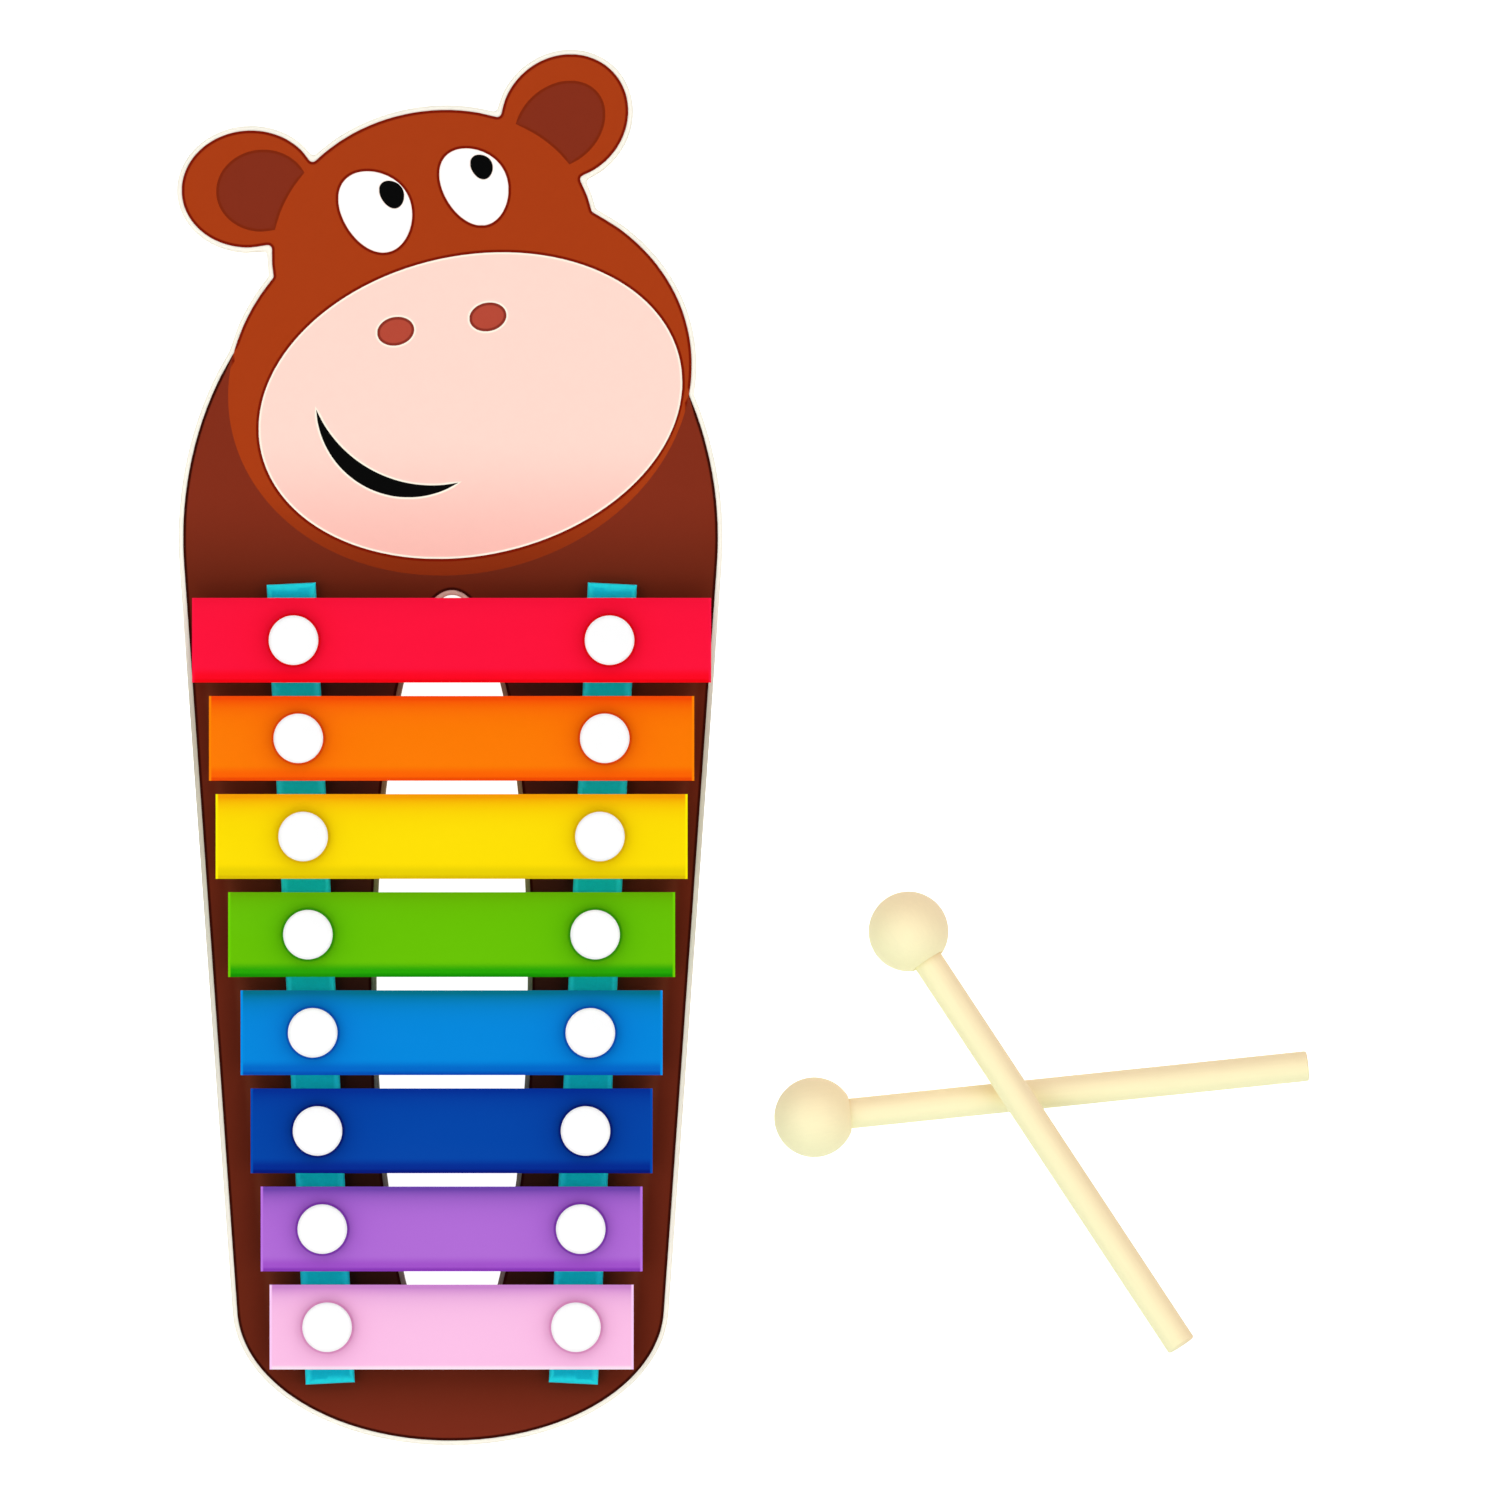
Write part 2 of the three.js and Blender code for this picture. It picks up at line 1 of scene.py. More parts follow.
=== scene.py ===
"""Looks of the toy xylophone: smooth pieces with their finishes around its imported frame.

Every piece takes its outline from the CAD node that it stands for, so it lies where that lies.
Lengths are metres. X runs across the board, Y towards the head and Z up from the table.
"""

import json
from math import acos, ceil, cos, inf, pi, radians, sin
from typing import NamedTuple

import bmesh
import bpy
import numpy as np
from bpy.props import FloatProperty, FloatVectorProperty, PointerProperty
from bpy.types import NodeSocket, Operator, Panel, PropertyGroup, Scene
from mathutils import Matrix, Vector
from mathutils.geometry import delaunay_2d_cdt, interpolate_bezier


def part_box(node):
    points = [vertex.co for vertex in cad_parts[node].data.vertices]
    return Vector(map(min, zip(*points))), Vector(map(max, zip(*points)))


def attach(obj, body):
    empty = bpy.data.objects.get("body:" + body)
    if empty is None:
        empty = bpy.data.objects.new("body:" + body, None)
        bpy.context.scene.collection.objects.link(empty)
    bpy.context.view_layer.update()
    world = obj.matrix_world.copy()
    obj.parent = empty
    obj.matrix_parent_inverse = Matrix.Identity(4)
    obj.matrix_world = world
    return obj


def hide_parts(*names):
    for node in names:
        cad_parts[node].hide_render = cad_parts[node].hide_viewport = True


bl_info = {
    "name": "Toy Xylophone",
    "version": (1, 0, 0),
    "blender": (4, 5, 0),
    "location": "View3D > Sidebar > Xylophone",
    "description": "Builds the smooth, finished pieces of a toy xylophone around its frame",
    "category": "Object",
}

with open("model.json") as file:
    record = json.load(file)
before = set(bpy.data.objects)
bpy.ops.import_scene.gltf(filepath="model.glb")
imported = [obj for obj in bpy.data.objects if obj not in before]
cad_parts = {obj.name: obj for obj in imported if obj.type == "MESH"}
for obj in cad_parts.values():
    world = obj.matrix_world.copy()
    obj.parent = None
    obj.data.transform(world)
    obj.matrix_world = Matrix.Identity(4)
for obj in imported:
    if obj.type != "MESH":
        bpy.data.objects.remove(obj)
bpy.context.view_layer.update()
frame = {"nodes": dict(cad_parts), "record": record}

RECORD = frame["record"]
BODY_OF = {node: body for body, nodes in RECORD["behaviour"]["bodies"].items() for node in nodes}
SLOT_OF = {part["node"]: part["material_slot"] for part in RECORD["subparts"]}
SLOT_COLOUR = {slot["slot"]: slot["base_color"] for slot in RECORD["materials"]}

BARS = ("red", "orange", "yellow", "green", "light_blue", "dark_blue", "purple", "pink")
SIDES = ("left", "right")
WHITE = (1.0, 1.0, 1.0)
UP = Vector((0, 0, 1))

WELD = 2e-6  # closer than this, two points of a node are one
NEAR = 2e-4  # closer than this, two outlines share an edge
GRAZE = 1e-9  # closer than this, two edges of a plate touch
PARALLEL = 1e-12  # two lines with a smaller cross product never meet
DIGITS = 6  # after the point, in the places that give a stick's axis
LEVEL_COSINE = 0.999  # a face whose normal is nearer to upright is level
CORNER_COSINE = cos(radians(50))  # a sharper turn of an outline stays a corner
BEND_STEP = radians(3)  # how finely the curves of an outline are divided
CREASE = radians(35)  # a sharper fold between faces is shaded as an edge
HANDLE_SHARE = 1 / 3  # of a chord, how far its curve's handles reach
MITRE_SHARE = 0.6  # limits how far a corner of a moved outline runs out
ROOM_SHARE = 0.4  # of the way to the edge across, which a moved outline may take up
SLOPE_SHARE = 0.5  # of the way along an outline, by which its depth may change
LEVEL_SHARE = 1.35  # of a rounding's width, where a flat face is level right up to it
LAYER_SHARES = (0.35, 0.65)  # of a layer of the plywood, between which its colour changes
SPIN_STEPS = 64
ROUND_STEPS = 6
BALL_STEPS = 40
# Painted shade on the mallets' heads: a warmer tint towards this way
SHADE_TINT_SIDE = Vector((0.35, 0.94, 0))  # the way in which the mallets' heads turn warmer
LIGHTS = {  # how many degrees round from the right each light stands, and whose power it has
    "tail": (-90, "front"),
    "tail_left": (-141, "front"),
    "tail_right": (-39, "side"),
    "left": (167, "side"),
    "right": (13, "side"),
    "head_left": (116, "back"),
    "head_right": (64, "back"),
}


class Grain(NamedTuple):
    """A noise in a finish, and what it does to the surface."""

    waves: float  # to the metre
    detail: float
    crisp: float = 0.5  # how strong its finer detail is
    stretch: tuple = ()  # along X, Y and Z
    tone_share: float = 0.0  # by which a colour gets lighter and darker
    relief: float = 0.0  # its depth in metres
    rough: tuple = ()  # the roughness at its lows and at its highs


BOARD_GRAIN = Grain(900, 5, 0.65, (1, 0.06, 1), 0.05, 3e-5)
BOARD_PORES = Grain(3200, 4, 0.7, (0.5, 0.5, 2), 0.04)
BOARD_FIGURE = Grain(180, 3, stretch=(1, 0.05, 1), tone_share=0.07)
INK_MOTTLE = Grain(420, 4, 0.6, tone_share=0.02)
INK_FILM = Grain(1100, 2, stretch=(1, 0.35, 1), relief=4e-6)
INK_SHEEN = Grain(60, 1, rough=(0.27, 0.33))
FELT_CLOUD = Grain(700, 5, 0.7, tone_share=0.1)
FELT_FIBRES = Grain(5200, 4, 0.75, (1, 0.3, 1), 0.2, 1.5e-4)
FELT_STRANDS = Grain(5200, 4, 0.75, (0.3, 1, 1))
ENAMEL_CLOUD = Grain(90, 2, stretch=(0.25, 1, 1), tone_share=0.015, rough=(0.2, 0.28))
ENAMEL_PEEL = Grain(1400, 2, relief=4e-6)
PLASTIC_FLOW = Grain(260, 3, tone_share=0.012, rough=(0.28, 0.4))
PLASTIC_SCRATCHES = Grain(6000, 2, 0.7, (1, 0.08, 1), relief=5e-6)
MALLET_GRAIN = Grain(1500, 5, 0.65, (1, 1, 0.05), 0.035, 2e-5, (0.5, 0.66))
MALLET_PORES = Grain(5200, 2, 0.6, (1, 1, 0.05))
FLOOR_CLOUD = Grain(3, 3, tone_share=0.01)


# Settings, as a user would change them


def amount(name, default, description, **limits):
    """A number, with its limits and unit where it has them."""
    return FloatProperty(name=name, default=default, description=description, **limits)


def length(name, default, description):
    """A length in metres."""
    return amount(name, default, description, min=0.0, precision=5, subtype="DISTANCE", unit="LENGTH")


def factor(name, default, description):
    """A share from 0 to 1."""
    return amount(name, default, description, min=0.0, max=1.0, subtype="FACTOR")


def colour(name, default, description):
    """A linear colour, given itself or by the record's slot."""
    return FloatVectorProperty(
        name=name,
        description=description,
        default=SLOT_COLOUR.get(default, default),
        size=3,
        min=0.0,
        max=1.0,
        subtype="COLOR",
    )


class BoardSettings(PropertyGroup):
    """The bare wooden board."""

    rim: length("Rim", 0.0011, "Rounding of the board's edge and slot, across")
    rim_drop: length("Rim drop", 0.00055, "The same rounding, downwards")
    bore_depth: length("Bore depth", 0.0058, "Depth of the blind bores for the pins")
    veneer: length("Veneer", 0.0007, "Thickness of the pale sheet on each face")
    ply: length("Ply", 0.0014, "Thickness of one inner layer")
    glue: length("Glue", 0.00028, "Width over which a sheet's colour changes to a layer's")
    layer_share: factor("Layers", 0.35, "How much paler every other layer is")
    pale: colour("Sheets", (1.0, 0.96, 0.84), "Pale sheets on the faces")
    core: colour("Inner layers", (0.80, 0.68, 0.49), "Darker inner layers")
    # Painted shade on the rounded upper edge beside the bars: it fades in over this length from the first
    # bar, in the darker tone below
    rim_shade_reach: length("Rim shade reach", 0.03, "Length over which the edge darkens by the first bars")
    rim_shade_tone: colour("Rim shade", (0.60, 0.56, 0.44), "Upper edge beside the bars")
    # Painted shade on the slot's edge under the bars, and a lighter lit tone where the edge rounds the tip
    # above the first bar
    slot_shade: colour("Slot edge", (0.30, 0.27, 0.17), "Darkened edge of the slot")
    slot_tip_lit: colour("Slot tip", (0.88, 0.66, 0.55), "Edge of the slot above the first bar")
    tip: length("Tip", 0.001, "Length over which it darkens under the first bar")


class PrintSettings(PropertyGroup):
    """The colours printed on the board."""

    line: length("Line", 0.0005, "Width of the dark line along the fields' edges")
    blur: length("Blur", 0.0002, "Width over which a line fades out")
    glow: length("Glow", 0.00034, "Width of the pale line just inside the muzzle")
    bleed: length("Bleed", 0.0001, "Width of the red bleed into the eyes")
    # Painted shade on the body: it darkens from the shoulders towards the bars and stays darker below the
    # last bar
    soft: length("Soft", 0.002, "Length over which the body's colours change by the bars")
    brown: colour("Body", (0.222, 0.0270, 0.0103), "Body at the shoulders")
    brown_low: colour("Body by the bars", (0.142, 0.0190, 0.0070), "Body above the first bar")
    brown_tail: colour("Tail", (0.185, 0.0235, 0.0100), "Body below the last bar")
    # Painted shade tones of the body under the ends of the bars and, darker, between the strips, seen in
    # the gaps between the bars
    under: colour("Under the bars", (0.180, 0.033, 0.013), "Body under the ends of the bars")
    between: colour("Between the strips", (0.110, 0.027, 0.018), "Body between them by the first bar")
    between_low: colour("Low between the strips", (0.065, 0.018, 0.009), "The same by the last bar")
    russet: colour("Head", "russet_print", "Head and ears")
    # Painted shade: the head darkens to this tone at the chin, beside the bars
    russet_low: colour("Chin", (0.250, 0.0275, 0.0048), "Head below the muzzle")
    inner_ear: colour("Inner ears", "inner_ear_print", "Dark middle of the ears")
    peach: colour("Muzzle", "peach_print", "Upper part of the muzzle")
    peach_low: colour("Lower muzzle", (0.965, 0.52, 0.455), "Lowest part of the muzzle")
    nostril: colour("Nostrils", "nostril_print", "Nostrils")
    black: colour("Black", "black_print", "Mouth and pupils")
    white: colour("White", WHITE, "Eyes")
    red_line: colour("Red line", (0.20, 0.0075, 0.0004), "Line round the head")
    black_line: colour("Black line", (0.040, 0.0030, 0.0008), "Line round the body")
    nostril_line: colour("Nostril line", (0.25, 0.030, 0.018), "Line round the nostrils")
    ear_line: colour("Ear line", (0.205, 0.020, 0.0037), "Line round the inner ears")
    eye_line: colour("Eye line", (1.0, 0.86, 0.78), "Faint bleed of red ink into the eyes")
    pale_line: colour("Pale line", (1.0, 0.90, 0.76), "Line just inside the muzzle")
    # Painted shade: the share of the body above the bars over which it darkens towards them
    shoulder_share: factor("Shoulder", 0.45, "How much of the body above the bars darkens")
    # Painted shade on the head beside the muzzle, from this height down to the chin
    flush_share: factor("Flush", 0.42, "How much of the muzzle's height is flushed")
    jaw_share: factor("Jaw", 0.28, "How far up the muzzle the head darkens beside it")


class StripSettings(PropertyGroup):
    """The felt strips under the bars."""

    edge: length("Edge radius", 0.0007, "Rounding of the felt's cut edges")
    sink: length("Sink", 0.00015, "How far a bar presses into the felt")
    grid: length("Grid", 0.0009, "Size of the faces that carry the felt's surface")
    margin: length("Margin", 0.00112, "How far inside the edges those faces start")
    # Painted light and shade along the felt, changing over this length under the first and last bars: its
    # tones at the lit head and tail ends and in the shade between the bars
    blend: length("Blend", 0.003, "Length over which the felt's colour changes under a bar")
    felt: colour("Felt", (0.004, 0.56, 0.72), "Felt at the end by the head")
    felt_between: colour("Felt between bars", (0.002, 0.58, 0.60), "Felt between the bars")
    felt_tail: colour("Felt at the tail", (0.002, 0.48, 0.61), "Felt at the end by the tail")
    # Painted highlight: a paler tone along the felt's cut edges, where they catch the light
    edge_highlight: colour("Cut edge", (0.02, 0.80, 0.85), "Paler fibres along its cut edges")
    edge_highlight_share: factor("Edge highlight", 0.6, "How strong that paler colour is")


class BarSettings(PropertyGroup):
    """The enamelled metal bars."""

    edge: length("Edge radius", 0.0005, "Rounding of the bars' edges and holes")
    # Painted shade along each bar's upper edge, with a painted reflection of the bar above
    fade: length("Fade", 0.00225, "How fast the darker tone by the upper edge fades")
    lip: length("Lip", 0.0007, "Width of the full tone by the upper edge")
    shade_share: factor("Shade", 0.33, "Share of a bar's colour left at its upper edge")
    bounce_share: factor("Bounce", 0.60, "Share added there by the bar above")
    # Painted shade in a band along each bar's lower edge, with a painted reflection of the bar below, and a
    # darker painted shade line at the very edge
    band: length("Band", 0.0036, "Width of the darker band by the lower edge")
    band_core: length("Band core", 0.0014, "Width of that band's full tone")
    band_depth: amount("Band depth", 1.25, "Power that deepens that band")
    band_share: factor("Band shade", 0.80, "Share of the deepened colour left in it")
    band_bounce_share: factor("Band bounce", 0.20, "Share added there by the bar below")
    green_band: colour("Green band", (0.022, 0.455, 0.0006), "Deepened colour of the green bar")
    hem: length("Hem", 0.0011, "Width of the darkest line along the lower edge")
    hem_core: length("Hem core", 0.0004, "Width of that line's full tone")
    hem_share: factor("Hem shade", 0.90, "Share of the deepened band left in that line")
    # Painted highlight along the last bar's lower edge
    glint_share: factor("Glint", 0.55, "Share of white along the last bar's lower edge")
    # Painted highlight: a lighter line along each bar's ends
    gleam: length("Gleam", 0.0005, "Width of the lighter line along the ends")
    gleam_blur: length("Gleam blur", 0.0004, "Width over which that line fades out")
    gleam_gain: amount("Gleam gain", 1.18, "How much lighter that line is")
    # Painted contact shadow: a dark ring on the bar round each cap, and a softer painted shade outside it
    ring: length("Cap ring", 0.0003, "Width of the dark ring that a cap leaves")
    ring_blur: length("Ring blur", 0.0006, "Width over which that ring fades out")
    ring_depth: amount("Ring depth", 1.5, "Power that deepens that ring")
    ring_share: factor("Ring shade", 0.85, "Share of the deepened colour left in it")
    halo: length("Halo", 0.0045, "How fast the soft shade outside that ring fades")
    halo_share: factor("Halo shade", 0.35, "Strength of that shade where it starts")
    red: colour("Red", "red_enamel", "Enamel of the longest bar")
    orange: colour("Orange", "orange_enamel", "Enamel of the second bar")
    yellow: colour("Yellow", "yellow_enamel", "Enamel of the third bar")
    green: colour("Green", "green_enamel", "Enamel of the fourth bar")
    light_blue: colour("Light blue", "light_blue_enamel", "Enamel of the fifth bar")
    dark_blue: colour("Dark blue", "dark_blue_enamel", "Enamel of the sixth bar")
    purple: colour("Purple", "purple_enamel", "Enamel of the seventh bar")
    pink: colour("Pink", "pink_enamel", "Enamel of the shortest bar")


class PinSettings(PropertyGroup):
    """The moulded pins that hold the bars."""

    stem_radius: length("Stem radius", 0.0015, "Radius of the stem in the board")
    stem_length: length("Stem length", 0.0055, "Length of the stem in the board")
    shoulder_radius: length("Shoulder radius", 0.0023, "Radius of the shoulder in the bar")
    cap_edge: length("Cap edge", 0.00135, "Height of the cap's side")
    dome: length("Dome", 0.001, "Height of the cap's dome")
    round_edge: length("Round edge", 0.00025, "Rounding of the cap's lower edge")
    plastic: colour("Plastic", (0.99, 0.99, 0.99), "Colour of the pins")


class MalletSettings(PropertyGroup):
    """The turned wooden mallets."""

    ball_radius: length("Ball radius", 0.009, "Radius of the mallet's head")
    stick_radius: length("Stick radius", 0.0034, "Radius of the mallet's stick")
    socket_depth: length("Socket depth", 0.003, "How far the stick passes the ball's middle")
    socket_gap: length("Socket gap", 0.00025, "Clearance round the stick in the head")
    soft_edge: length("Soft edge", 0.0005, "Sanded rounding of the stick's ends and the socket")
    # Painted light on the mallets: the paler tint on the side towards the tail and a warmer painted shade
    # on the side towards the head
    pale: colour("Lit tint", (1.0, 0.975, 0.60), "Paler side of the wood")
    shade_tint: colour("Shade tint", (0.98, 0.78, 0.48), "Warmer side of the wood")


class StageSettings(PropertyGroup):
    """The floor, the lights and the camera."""

    floor_size: length("Floor size", 40.0, "Side of the square floor")
    floor_drop: length("Floor drop", 0.0001, "How far the floor lies under the table line")
    floor: colour("Floor", (0.85, 0.85, 0.85), "Colour of the floor")
    floor_glow: amount("Floor glow", 0.95, "Light that the floor gives")
    view_width: length("View width", 0.33708, "Width of what the camera sees at the object")
    view_x: amount("View X", 0.0015, "Middle of the view", unit="LENGTH")
    view_y: amount("View Y", -0.00058, "Middle of the view", unit="LENGTH")
    camera_height: length("Camera height", 6.0, "Height of the camera above the table")
    sensor: amount("Sensor", 36.0, "Sensor width in millimetres")
    light_distance: length("Light distance", 1.3, "From the object to each soft light")
    light_size: length("Light size", 1.0, "Side of each soft light")
    light_rise: amount("Light rise", radians(42), "Angle up to the soft lights", subtype="ANGLE")
    front_power: amount("Front", 4.4, "Power of the lights by the tail")
    side_power: amount("Side", 4.1, "Power of the lights by the sides")
    back_power: amount("Back", 3.9, "Power of the lights by the head")
    ambient: amount("Ambient", 0.22, "Strength of the even light round the horizon")
    bounce: amount("Bounce", 1.05, "Strength of the light from below")
    dusk_share: factor("Dusk", 0.1, "How far below the horizon that light has its strength")


# Outlines, read from the frame's nodes


def pin_boxes(name):
    """The boxes of the two pins through a bar."""
    return [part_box(f"{name}_bar_{side}_pin") for side in SIDES]


def neighbours(loop):
    """Each point of a closed loop, between the one before it and the one after it."""
    return zip(loop[-1:] + loop[:-1], loop, loop[1:] + loop[:1])


def signed_area(loop):
    """Area inside a loop, positive where it runs anticlockwise."""
    return sum(before.cross(point) for before, point, after in neighbours(loop)) / 2


def extent(loop):
    """The lowest and the highest X and Y of a loop."""
    return [[end(point[axis] for point in loop) for axis in range(2)] for end in (min, max)]


def outlines(node, height):
    """The node's level outlines at a height, smoothed: the outer one first, then its holes.

    The solid lies on the left of each, so the outer one runs anticlockwise and a hole clockwise.
    """
    mesh = bmesh.new()
    mesh.from_mesh(frame["nodes"][node].data)
    bmesh.ops.remove_doubles(mesh, verts=mesh.verts, dist=WELD)
    beside = {}
    for edge in mesh.edges:
        ends = edge.verts
        level = all(abs(vert.co.z - height) < WELD for vert in ends)
        if level and not all(abs(face.normal.z) > LEVEL_COSINE for face in edge.link_faces):
            beside.setdefault(ends[0], []).append(ends[1])
            beside.setdefault(ends[1], []).append(ends[0])
    loops = []
    while beside:
        vert = next(iter(beside))
        loop = []
        while vert in beside:
            loop.append(vert.co.xy.copy())
            onward = beside.pop(vert)
            vert = next((other for other in onward if other in beside), None)
        loops.append(loop)
    mesh.free()
    if not loops:
        raise ValueError(f"{node} has no outline at a height of {height:.5f} m")
    loops.sort(key=lambda loop: -abs(signed_area(loop)))
    for index, loop in enumerate(loops):
        if (signed_area(loop) > 0) != (index == 0):
            loop.reverse()
    return [smoothed(loop) for loop in loops]


def smoothed(loop):
    """The loop with its curves divided more finely; corners stay sharp and sides straight."""
    courses = []
    for before, point, after in neighbours(loop):
        into = (point - before).normalized()
        out = (after - point).normalized()
        if into.dot(out) < CORNER_COSINE:
            courses.append((into, out))
        else:
            along = (after - before).normalized()
            courses.append((along, along))
    curve = []
    for index, point in enumerate(loop):
        beyond = (index + 1) % len(loop)
        leave = courses[index][1]
        arrive = courses[beyond][0]
        chord = loop[beyond] - point
        bend = leave.angle(chord) + chord.angle(arrive)
        steps = max(1, ceil(bend / BEND_STEP))
        reach = chord.length * HANDLE_SHARE
        knots = (point, point + leave * reach, loop[beyond] - arrive * reach, loop[beyond])
        curve += interpolate_bezier(*(knot.to_3d() for knot in knots), steps + 1)[:-1]
    low, high = extent(loop)
    return [Vector(np.clip(point.xy, low, high)) for point in curve]


def inward(loop):
    """For each point, the way into the solid, as long as a corner there needs for one metre."""
    ways = []
    for before, point, after in neighbours(loop):
        first = (point - before).normalized().orthogonal()
        middle = (first + (after - point).normalized().orthogonal()).normalized()
        ways.append(middle / max(middle.dot(first), MITRE_SHARE))
    return ways


def moved(loop, depth, shares=None):
    """The loop moved into the solid by a depth, or at each point by a share of it."""
    shares = shares or [1.0] * len(loop)
    return [point + way * depth * share for point, way, share in zip(loop, inward(loop), shares)]


def open_way(point, way, starts, spans):
    """How many times a way leads from a point before it meets one of the sides."""
    gap = starts - np.array(point)
    turn = way.x * spans[:, 1] - way.y * spans[:, 0]
    turn[np.abs(turn) < PARALLEL] = PARALLEL
    far = (gap[:, 0] * spans[:, 1] - gap[:, 1] * spans[:, 0]) / turn
    along = (gap[:, 0] * way.y - gap[:, 1] * way.x) / turn
    met = far[(far > WELD) & (along >= 0) & (along <= 1)]
    return met.min() if met.size else inf


def room(loops, depth, wanted):
    """For each point of each loop, the share of a depth that it can move and meet nothing.

    It is zero in a sharp tip and where no move is wanted, and along a loop it changes only slowly.
    """
    starts = np.array([point for loop in loops for point in loop])
    spans = np.array([point for loop in loops for point in loop[1:] + loop[:1]]) - starts
    shares = []
    for loop, most in zip(loops, wanted):
        free = [ROOM_SHARE * open_way(*pair, starts, spans) / depth for pair in zip(loop, inward(loop))]
        free = [min(1.0, *pair) for pair in zip(free, most)]
        steps = []
        for index, (before, point, after) in enumerate(neighbours(loop)):
            into, out = (point - before).normalized(), (after - point).normalized()
            if into.dot(out) < CORNER_COSINE and into.cross(out) > 0:
                free[index] = 0.0
            steps.append(SLOPE_SHARE * (point - before).length / depth)
        for index in [*range(len(loop))] * 2:
            free[index] = min(free[index], free[index - 1] + steps[index])
        for index in [*range(len(loop))][::-1] * 2:
            free[index - 1] = min(free[index - 1], free[index] + steps[index])
        shares.append(free)
    return shares


def encloses(loop, point):
    """Whether a point lies inside a loop."""
    odd = False
    for before, corner, after in neighbours(loop):
        if (before.y > point.y) != (corner.y > point.y):
            share = (point.y - before.y) / (corner.y - before.y)
            if point.x < before.x + share * (corner.x - before.x):
                odd = not odd
    return odd


def tapered(widths, top, bottom):
    """The corners of a field that narrows downwards, from the left and right of its two ends."""
    (left, right), (low_left, low_right) = widths
    corners = ((left, top), (low_left, bottom), (low_right, bottom), (right, top))
    return [Vector(corner) for corner in corners]


def divided(loop, step):
    """The loop with its long sides divided."""
    points = []
    for before, point, after in neighbours(loop):
        count = max(1, ceil((after - point).length / step))
        points += [point.lerp(after, share / count) for share in range(count)]
    return points


def scattered(loops, margin, step):
    """Points of a grid that lie inside the outer loop and outside its holes, off their edges."""
    low, high = extent(loops[0])
    edges = [moved(loop, margin) for loop in loops]
    points = []
    for column in range(int((high[0] - low[0]) / step)):
        for row in range(int((high[1] - low[1]) / step)):
            halves = (2 * column + 1, 2 * row + 1)
            point = Vector([start + half * step / 2 for start, half in zip(low, halves)])
            if encloses(edges[0], point) and not any(encloses(hole, point) for hole in edges[1:]):
                points.append(point)
    return points


def stick_axis(node, head):
    """The start, the direction and the length of a stick, from the end that is in its head."""
    places = np.array([vert.co for vert in frame["nodes"][node].data.vertices])
    places = np.unique(places.round(DIGITS), axis=0)
    middle = Vector((places.min(0) + places.max(0)) / 2)
    direction = Vector(np.linalg.svd(places - places.mean(0))[2][0])
    low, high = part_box(head)
    if direction.dot((low + high) / 2 - middle) > 0:
        direction.negate()
    along = [(Vector(place) - middle).dot(direction) for place in places]
    return middle + direction * min(along), direction, max(along) - min(along)


# Meshes


def fill(mesh, rows, upwards, inner=()):
    """Fills the level area between rows of verts, the first outside and the others its holes."""
    verts = [vert for row in rows for vert in row] + list(inner)
    row_of = {}
    edges = []
    for number, row in enumerate(rows):
        start = len(row_of)
        for index in range(len(row)):
            edges.append((start + index, start + (index + 1) % len(row)))
            row_of[start + index] = number
    holes = [[vert.co.xy for vert in row] for row in rows]
    flat = [vert.co.xy for vert in verts]
    inside_only = 1
    places, sides, faces, origins, *rest = delaunay_2d_cdt(flat, edges, [], inside_only, GRAZE)
    for place, origin in zip(places, origins):
        if not origin:
            raise ValueError(f"the outlines of a plate cross at {place.x:.5f}, {place.y:.5f} m")
    for face in faces:
        corners = [origins[index][0] for index in face]
        held_by = {row_of.get(corner, -1) for corner in corners}
        if len(held_by) == 1 and held_by != {-1}:
            number = held_by.pop()
            middle = sum((flat[corner] for corner in corners), Vector((0, 0))) / len(corners)
            if number and encloses(holes[number], middle):
                continue
        ends = [verts[corner] for corner in corners]
        mesh.faces.new(ends if upwards else ends[::-1])


def wall(mesh, rows):
    """Joins rows of as many verts into a band of faces; a vert that comes again makes a triangle."""
    for lower, upper in zip(rows, rows[1:]):
        for index in range(len(lower)):
            corners = (lower[index - 1], lower[index], upper[index], upper[index - 1])
            mesh.faces.new(tuple(dict.fromkeys(corners)))


def plate(loops, rings, bores=(), floor=0.0, inner=(), bare=()):
    """A plate with holes, from rings that say how far inside its outlines it is at each height.

    Each ring is a depth, a height and how much of the edge line it carries, and by the bare points
    there is no line. Bores are blind and end at the floor.
    """
    mesh = bmesh.new()
    line = mesh.verts.layers.float.new("line")
    bottoms, tops = [], []
    wanted = []
    for loop in loops:
        wanted.append([float(all((point - other).length > NEAR for other in bare)) for point in loop])
    reach = max(depth for depth, height, ink in rings)
    shares = room(loops, reach, wanted) if reach else wanted
    for number, loop in enumerate(loops):
        rows = []
        for depth, height, ink in rings:
            flat = moved(loop, depth, shares[number])
            row = [mesh.verts.new((point.x, point.y, height)) for point in flat]
            for vert, share in zip(row, wanted[number]):
                vert[line] = ink * share
            rows.append(row)
        wall(mesh, rows)
        bottoms.append(rows[0])
        tops.append(rows[-1])
    top = rings[-1][1]
    for loop in bores:
        rows = [[mesh.verts.new((point.x, point.y, height)) for point in loop] for height in (floor, top)]
        wall(mesh, rows)
        fill(mesh, [rows[0][::-1]], True)
        tops.append(rows[1])
    fill(mesh, tops, True, [mesh.verts.new((point.x, point.y, top)) for point in inner])
    fill(mesh, bottoms, False)
    bmesh.ops.remove_doubles(mesh, verts=mesh.verts, dist=WELD / 2)
    return mesh


